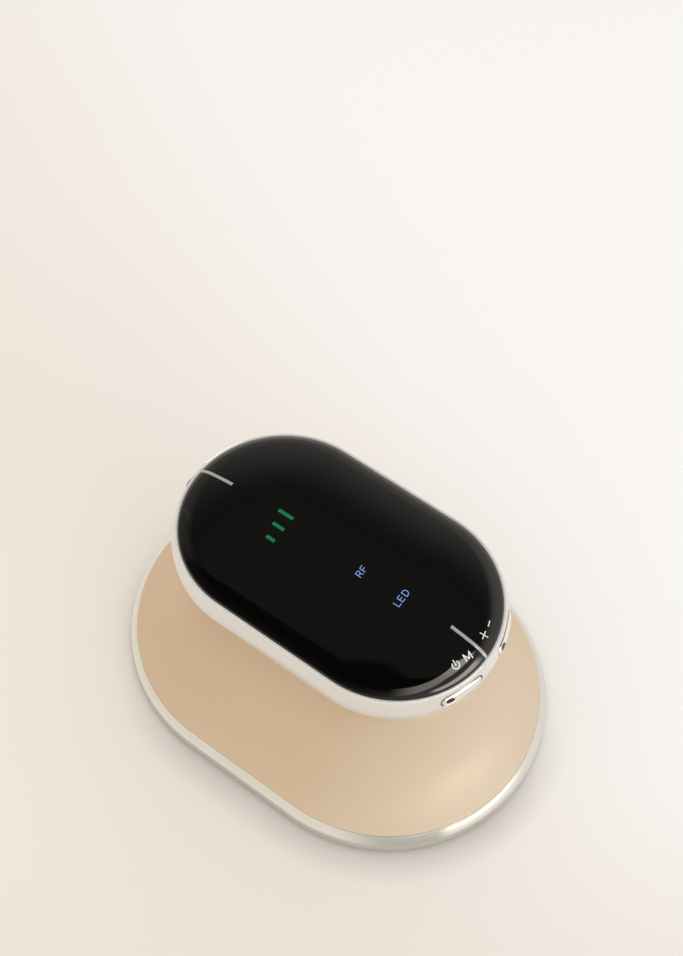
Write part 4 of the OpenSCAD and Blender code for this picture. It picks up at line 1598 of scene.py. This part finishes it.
# %% Window slab
lens_clear = finish(
    "lens_clear", rgb(246, 240, 236), rgb(240, 233, 230), patch=50, roughness=0.08, spread=0.02,
    grain=0.0006, grain_scale=1500, Transmission_Weight=0.92, IOR=1.49,
)
lens_r = 8.5
lens_half = 11
lens_gap = 0.1
flange_grow = 0.9
flange_thick = 0.7
plate_low = 0.8
plate_high = 2.8
SLAB_STEP = 5


def stadium_slab(half_len, radius, low, high, edge):
    """A solid stadium plate with softly rounded edges, built as rings that close in."""
    profile = (
        [(0, low)] + arc((radius - edge, low + edge), edge, 180, 90, 3)
        + [(radius, high - 0.02), (0, high)]
    )
    swings = range(-90, 91, SLAB_STEP)
    stops = [(half_len, swing) for swing in swings] + [(-half_len, swing + 180) for swing in swings]
    rows = len(profile)
    points = [on_outline(s, rho, z) for s in stops for rho, z in profile]
    faces = []
    for i in range(len(stops)):
        here = i * rows
        there = (i + 1) % len(stops) * rows
        faces += [(here + j, there + j, there + j + 1, here + j + 1) for j in range(rows - 1)]
    return points, faces


# %% Window and its lenses
led_spots = [(i * 7, j * 4.6) for i in range(-2, 3) for j in (-1, 0, 1)]
lens_dome = [(0, -0.42), (0.7, -0.38), (1.3, -0.24), (1.75, 0.02), (1.75, 0.1), (0, 0.1)]
flange_low = plate_high + 0.02
window_parts = [
    stadium_slab(lens_half, lens_r - lens_gap, plate_low, plate_high, 0.2),
    stadium_slab(lens_half + 1, lens_r + flange_grow, flange_low, plate_high + flange_thick, 0.1),
]
light_window = make_piece("light_window", joined(window_parts), lens_clear)
settle(light_window, "housing", "lens_clear", "led_lens")
window_lenses = copies(
    "window_lenses", turned(lens_dome, sides=28),
    [(x, y, plate_low - 0.05) for x, y in led_spots], lens_clear,
)
settle(window_lenses, "housing", "lens_clear")

# %% [markdown]
# Treatment lights
# Under each lens sits a light: a small pale case with a raised rim and a yellow phosphor. They
# are seen only through the window, so a lathe profile with seven points is enough for each.

# %% Treatment lights
led_chip = finish(
    "led_chip", rgb(236, 214, 120), rgb(240, 226, 160), patch=1500, roughness=0.3, spread=0.08,
    grain=0.004, grain_scale=6000, Subsurface_Weight=0.1,
)
led_low = 5.2
led_case = [(0, 0.15), (0.8, 0.15), (1.1, 0), (1.4, 0), (1.45, 0.08), (1.45, 0.8), (0, 0.8)]
treatment_lights = copies(
    "treatment_lights", turned(led_case, sides=24), [(x, y, led_low) for x, y in led_spots], led_chip,
)
settle(treatment_lights, "housing", "led_chip", "treatment_leds")

# %% [markdown]
# Foot screws
# Four cross-head screws hold the treatment face. A cross cut by a boolean leaves long thin faces
# round it, so the recess is a closed ring of points in the shape of a cross, and the head grows
# from it ring by ring. Each screw is turned a little from the last, as real ones end up.

# %% Foot screws
screw_steel = finish(
    "screw_steel", rgb(176, 176, 176), rgb(160, 160, 161), patch=900, roughness=0.26, spread=0.08,
    grain=0.002, grain_scale=8000, Metallic=1.0,
)


def cross_screw(head_r, shank_r, head_low, head_high, tip):
    """A pan-head screw seen from below, with a cross recess cut by its own outline."""
    recess = 1.25
    arm = 0.26
    deep = 0.55
    sides = 48
    cross = []
    for i in range(sides):
        swing = math.tau * i / sides
        c = math.cos(swing)
        s = math.sin(swing)
        reach = min(arm / max(abs(c), 1e-6), arm / max(abs(s), 1e-6))
        along = min(recess, max(reach, recess if min(abs(c), abs(s)) < arm / recess else reach))
        cross.append((c * along, s * along))
    loops = [
        [(0.04 * math.cos(math.tau * i / sides), 0.04 * math.sin(math.tau * i / sides), head_low + deep)
         for i in range(sides)],
        [(x * 0.8, y * 0.8, head_low + deep * 0.9) for x, y in cross],
        [(x, y, head_low + 0.04) for x, y in cross],
        [(x * 1.06, y * 1.06, head_low) for x, y in cross],
    ]
    rims = [(head_r - 0.3, head_low + 0.02), (head_r - 0.08, head_low + 0.12), (head_r, head_low + 0.32),
            (head_r, head_high), (shank_r, head_high), (shank_r, tip), (shank_r * 0.5, tip + 0.6)]
    for r, z in rims:
        loops.append([(r * math.cos(math.tau * i / sides), r * math.sin(math.tau * i / sides), z)
                      for i in range(sides)])
    points = [p for loop in loops for p in loop]
    return points, ring_faces(len(loops), sides)


screw_rho = 28.5
screw_tip = 11.4
head_low = plate_low + 0.15
screw_spots = [
    (half + screw_rho, 0, 0), (-half - screw_rho, 0, 0), (0, screw_rho, 0), (0, -screw_rho, 0),
]
foot_screws = copies(
    "foot_screws", cross_screw(1.9, 1.0, head_low, head_low + 1, screw_tip), screw_spots,
    screw_steel, turn_step=0.7,
)
settle(foot_screws, "housing", "screw_steel", "base_screws")

# %% [markdown]
# Inside pieces
# The boards, the battery, the carrier and the rest stay as the construction made them. Each gets a
# finish of its own material: solder mask with traces, wound copper, shrink sleeve, rubber and so
# on. Tracks and windings could be modelled, but inside a closed case a pattern with a small step
# in it is enough, drawn with textures on object coordinates.

# %% Patterns
track_step = 0.03


def pattern_into(material, share, colour, step):
    """Paints a second colour over a finish where the share is 1, raised by a step in mm."""
    tree = material.node_tree
    normal = tree.nodes["Principled BSDF"].inputs["Normal"]
    paint_over(material, share, colour)
    bump = add(tree, "ShaderNodeBump", {"Height": share, "Strength": 1.0, "Distance": step * MM})
    if normal.links:
        tree.links.new(normal.links[0].from_socket, bump.inputs["Normal"])
    tree.links.new(bump.outputs["Normal"], normal)
    return material


def traces(material, scale, line, colour):
    """Copper tracks under the solder mask: thin lines between brick-like fields."""
    tree = material.node_tree
    tiles = add(tree, "ShaderNodeTexBrick", {
        "Vector": own_place(tree), "Scale": scale, "Mortar Size": line, "Mortar Smooth": 0.1,
        "Color1": (0, 0, 0, 1), "Color2": (0, 0, 0, 1), "Mortar": (1, 1, 1, 1),
        "Brick Width": 0.9, "Row Height": 0.35,
    }, offset=0.37, squash=1.6)
    return pattern_into(material, tiles.outputs["Color"], colour, track_step)


def bands(material, axis, scale, colour, depth):
    """Even stripes across one axis, such as turns of wire or ribbon conductors."""
    tree = material.node_tree
    wave = add(tree, "ShaderNodeTexWave", {
        "Vector": own_place(tree), "Scale": scale, "Distortion": 0.0,
    }, bands_direction=axis)
    edge = add(tree, "ShaderNodeMapRange", {
        "Value": wave.outputs["Fac"], "From Min": 0.35, "From Max": 0.65,
    })
    return pattern_into(material, edge.outputs["Result"], colour, depth)


# %% Boards, seals and frames
plate_white = finish(
    "plate_white", rgb(232, 228, 220), rgb(226, 221, 213), patch=30, roughness=0.36, spread=0.06,
    grain=0.003, grain_scale=5000, Coat_Weight=0.2, Coat_Roughness=0.2,
)
circuit_board = traces(
    finish("circuit_board", rgb(22, 74, 50), rgb(27, 84, 57), roughness=0.32, spread=0.08),
    260, 0.03, rgb(46, 112, 78),
)
led_board_white = traces(
    finish("led_board_white", rgb(238, 238, 232), rgb(230, 230, 224), roughness=0.35, spread=0.06),
    150, 0.02, rgb(214, 212, 200),
)
seal_rubber = finish(
    "seal_rubber", rgb(36, 36, 36), rgb(46, 45, 44), patch=200, roughness=0.72, spread=0.1,
    grain=0.01, grain_scale=5000,
)
frame_grey = finish(
    "frame_grey", rgb(84, 84, 84), rgb(74, 74, 75), patch=60, roughness=0.55, spread=0.08,
    grain=0.006, grain_scale=5000,
)
mask_black = finish(
    "mask_black", rgb(26, 26, 26), rgb(32, 32, 31), patch=90, roughness=0.65, spread=0.08,
    grain=0.006, grain_scale=6000,
)
diffuser_film = finish(
    "diffuser_film", rgb(232, 238, 242), rgb(224, 231, 236), patch=400, roughness=0.5, spread=0.1,
    grain=0.004, grain_scale=9000, Transmission_Weight=0.3,
)

# %% Metal parts, socket and battery
switch_metal = finish(
    "switch_metal", rgb(196, 196, 194), rgb(180, 180, 179), patch=900, roughness=0.3, spread=0.08,
    grain=0.002, grain_scale=9000, Metallic=1.0,
)
pin_steel = finish(
    "pin_steel", rgb(150, 152, 156), rgb(138, 140, 145), patch=1200, roughness=0.2, spread=0.06,
    grain=0.001, grain_scale=9000, stretch=(1, 1, 8), Metallic=1.0,
)
socket_black = finish(
    "socket_black", rgb(28, 28, 28), rgb(36, 36, 37), patch=500, roughness=0.42, spread=0.06,
    grain=0.003, grain_scale=7000,
)
battery_blue = finish(
    "battery_blue", rgb(58, 104, 162), rgb(66, 114, 172), patch=70, roughness=0.3, spread=0.08,
    grain=0.02, grain_scale=700, stretch=(0.2, 1, 1),
)
brass_plate = finish(
    "brass_plate", rgb(190, 156, 86), rgb(176, 142, 74), patch=900, roughness=0.28, spread=0.08,
    grain=0.002, grain_scale=6000, stretch=(1, 1, 6), Metallic=1.0,
)

# %% Parts on the main board and the leads
ferrite_core = finish(
    "ferrite_core", rgb(70, 66, 60), rgb(56, 53, 49), patch=900, roughness=0.7, spread=0.1,
    grain=0.02, grain_scale=3000,
)
copper_winding = bands(
    finish("copper_winding", rgb(176, 106, 50), rgb(160, 94, 42), roughness=0.3, Metallic=1.0),
    "X", 500, rgb(96, 52, 22), 0.1,
)
capacitor_sleeve = bands(
    finish("capacitor_sleeve", rgb(38, 50, 76), rgb(44, 58, 88), roughness=0.35, spread=0.05),
    "Z", 60, rgb(60, 74, 104), 0.01,
)
chip_black = finish(
    "chip_black", rgb(30, 30, 31), rgb(38, 38, 38), patch=900, roughness=0.5, spread=0.08,
    grain=0.005, grain_scale=9000,
)
ribbon_film = bands(
    finish("ribbon_film", rgb(214, 196, 142), rgb(206, 188, 132), roughness=0.3, spread=0.05),
    "X", 320, rgb(180, 120, 60), 0.02,
)
lead_red = finish(
    "lead_red", rgb(178, 40, 32), rgb(164, 34, 28), patch=300, roughness=0.42, spread=0.06,
    grain=0.003, grain_scale=6000,
)
lead_grey = finish(
    "lead_grey", rgb(184, 184, 184), rgb(172, 172, 173), patch=300, roughness=0.45, spread=0.06,
    grain=0.003, grain_scale=6000,
)

# %% [markdown]
# Dressing
# A carried-over solid is never moved or remeshed; only its material slots are filled. One table
# names the finish of each, so that no node is forgotten.

# %% Dress the nodes that stay
node_finish = {
    circuit_board: ("display_board", "switch_boards", "socket_board", "main_board"),
    led_board_white: ("led_board",),
    seal_rubber: ("cover_gasket", "base_gasket", "battery_pad"),
    frame_grey: ("head_tray", "rocker_carrier", "battery_tray", "inner_chassis"),
    mask_black: ("light_mask",),
    diffuser_film: ("display_diffuser",),
    led_chip: ("display_leds",),
    screw_steel: ("cover_screws", "neck_screws", "board_screws"),
    pin_steel: ("rocker_pins",),
    switch_metal: ("tact_switches", "socket_shell"),
    socket_black: ("socket_tongue", "buzzer"),
    battery_blue: ("battery_pack",),
    brass_plate: ("board_standoffs", "electrode_springs"),
    ferrite_core: ("rf_transformer",),
    copper_winding: ("output_inductors",),
    capacitor_sleeve: ("board_capacitors",),
    chip_black: ("control_chips",),
    ribbon_film: ("head_ribbon",),
    lead_red: ("battery_leads",),
    lead_grey: ("electrode_leads",),
    plate_white: ("treatment_plate",),
    electrode_steel: ("temperature_sensor",),
}
for material, nodes in node_finish.items():
    for node in nodes:
        node_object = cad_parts[node]
        if not node_object.material_slots:
            node_object.data.materials.append(material)
        for slot in node_object.material_slots:
            slot.material = material
print("nodes dressed:", sum(len(nodes) for nodes in node_finish.values()))

# %% [markdown]
# Colour
# The picture is shown with the Standard transform, so that a colour on screen is the colour of
# the surface in plain light.

# %% Set the view transform
bpy.context.scene.view_settings.view_transform = "Standard"
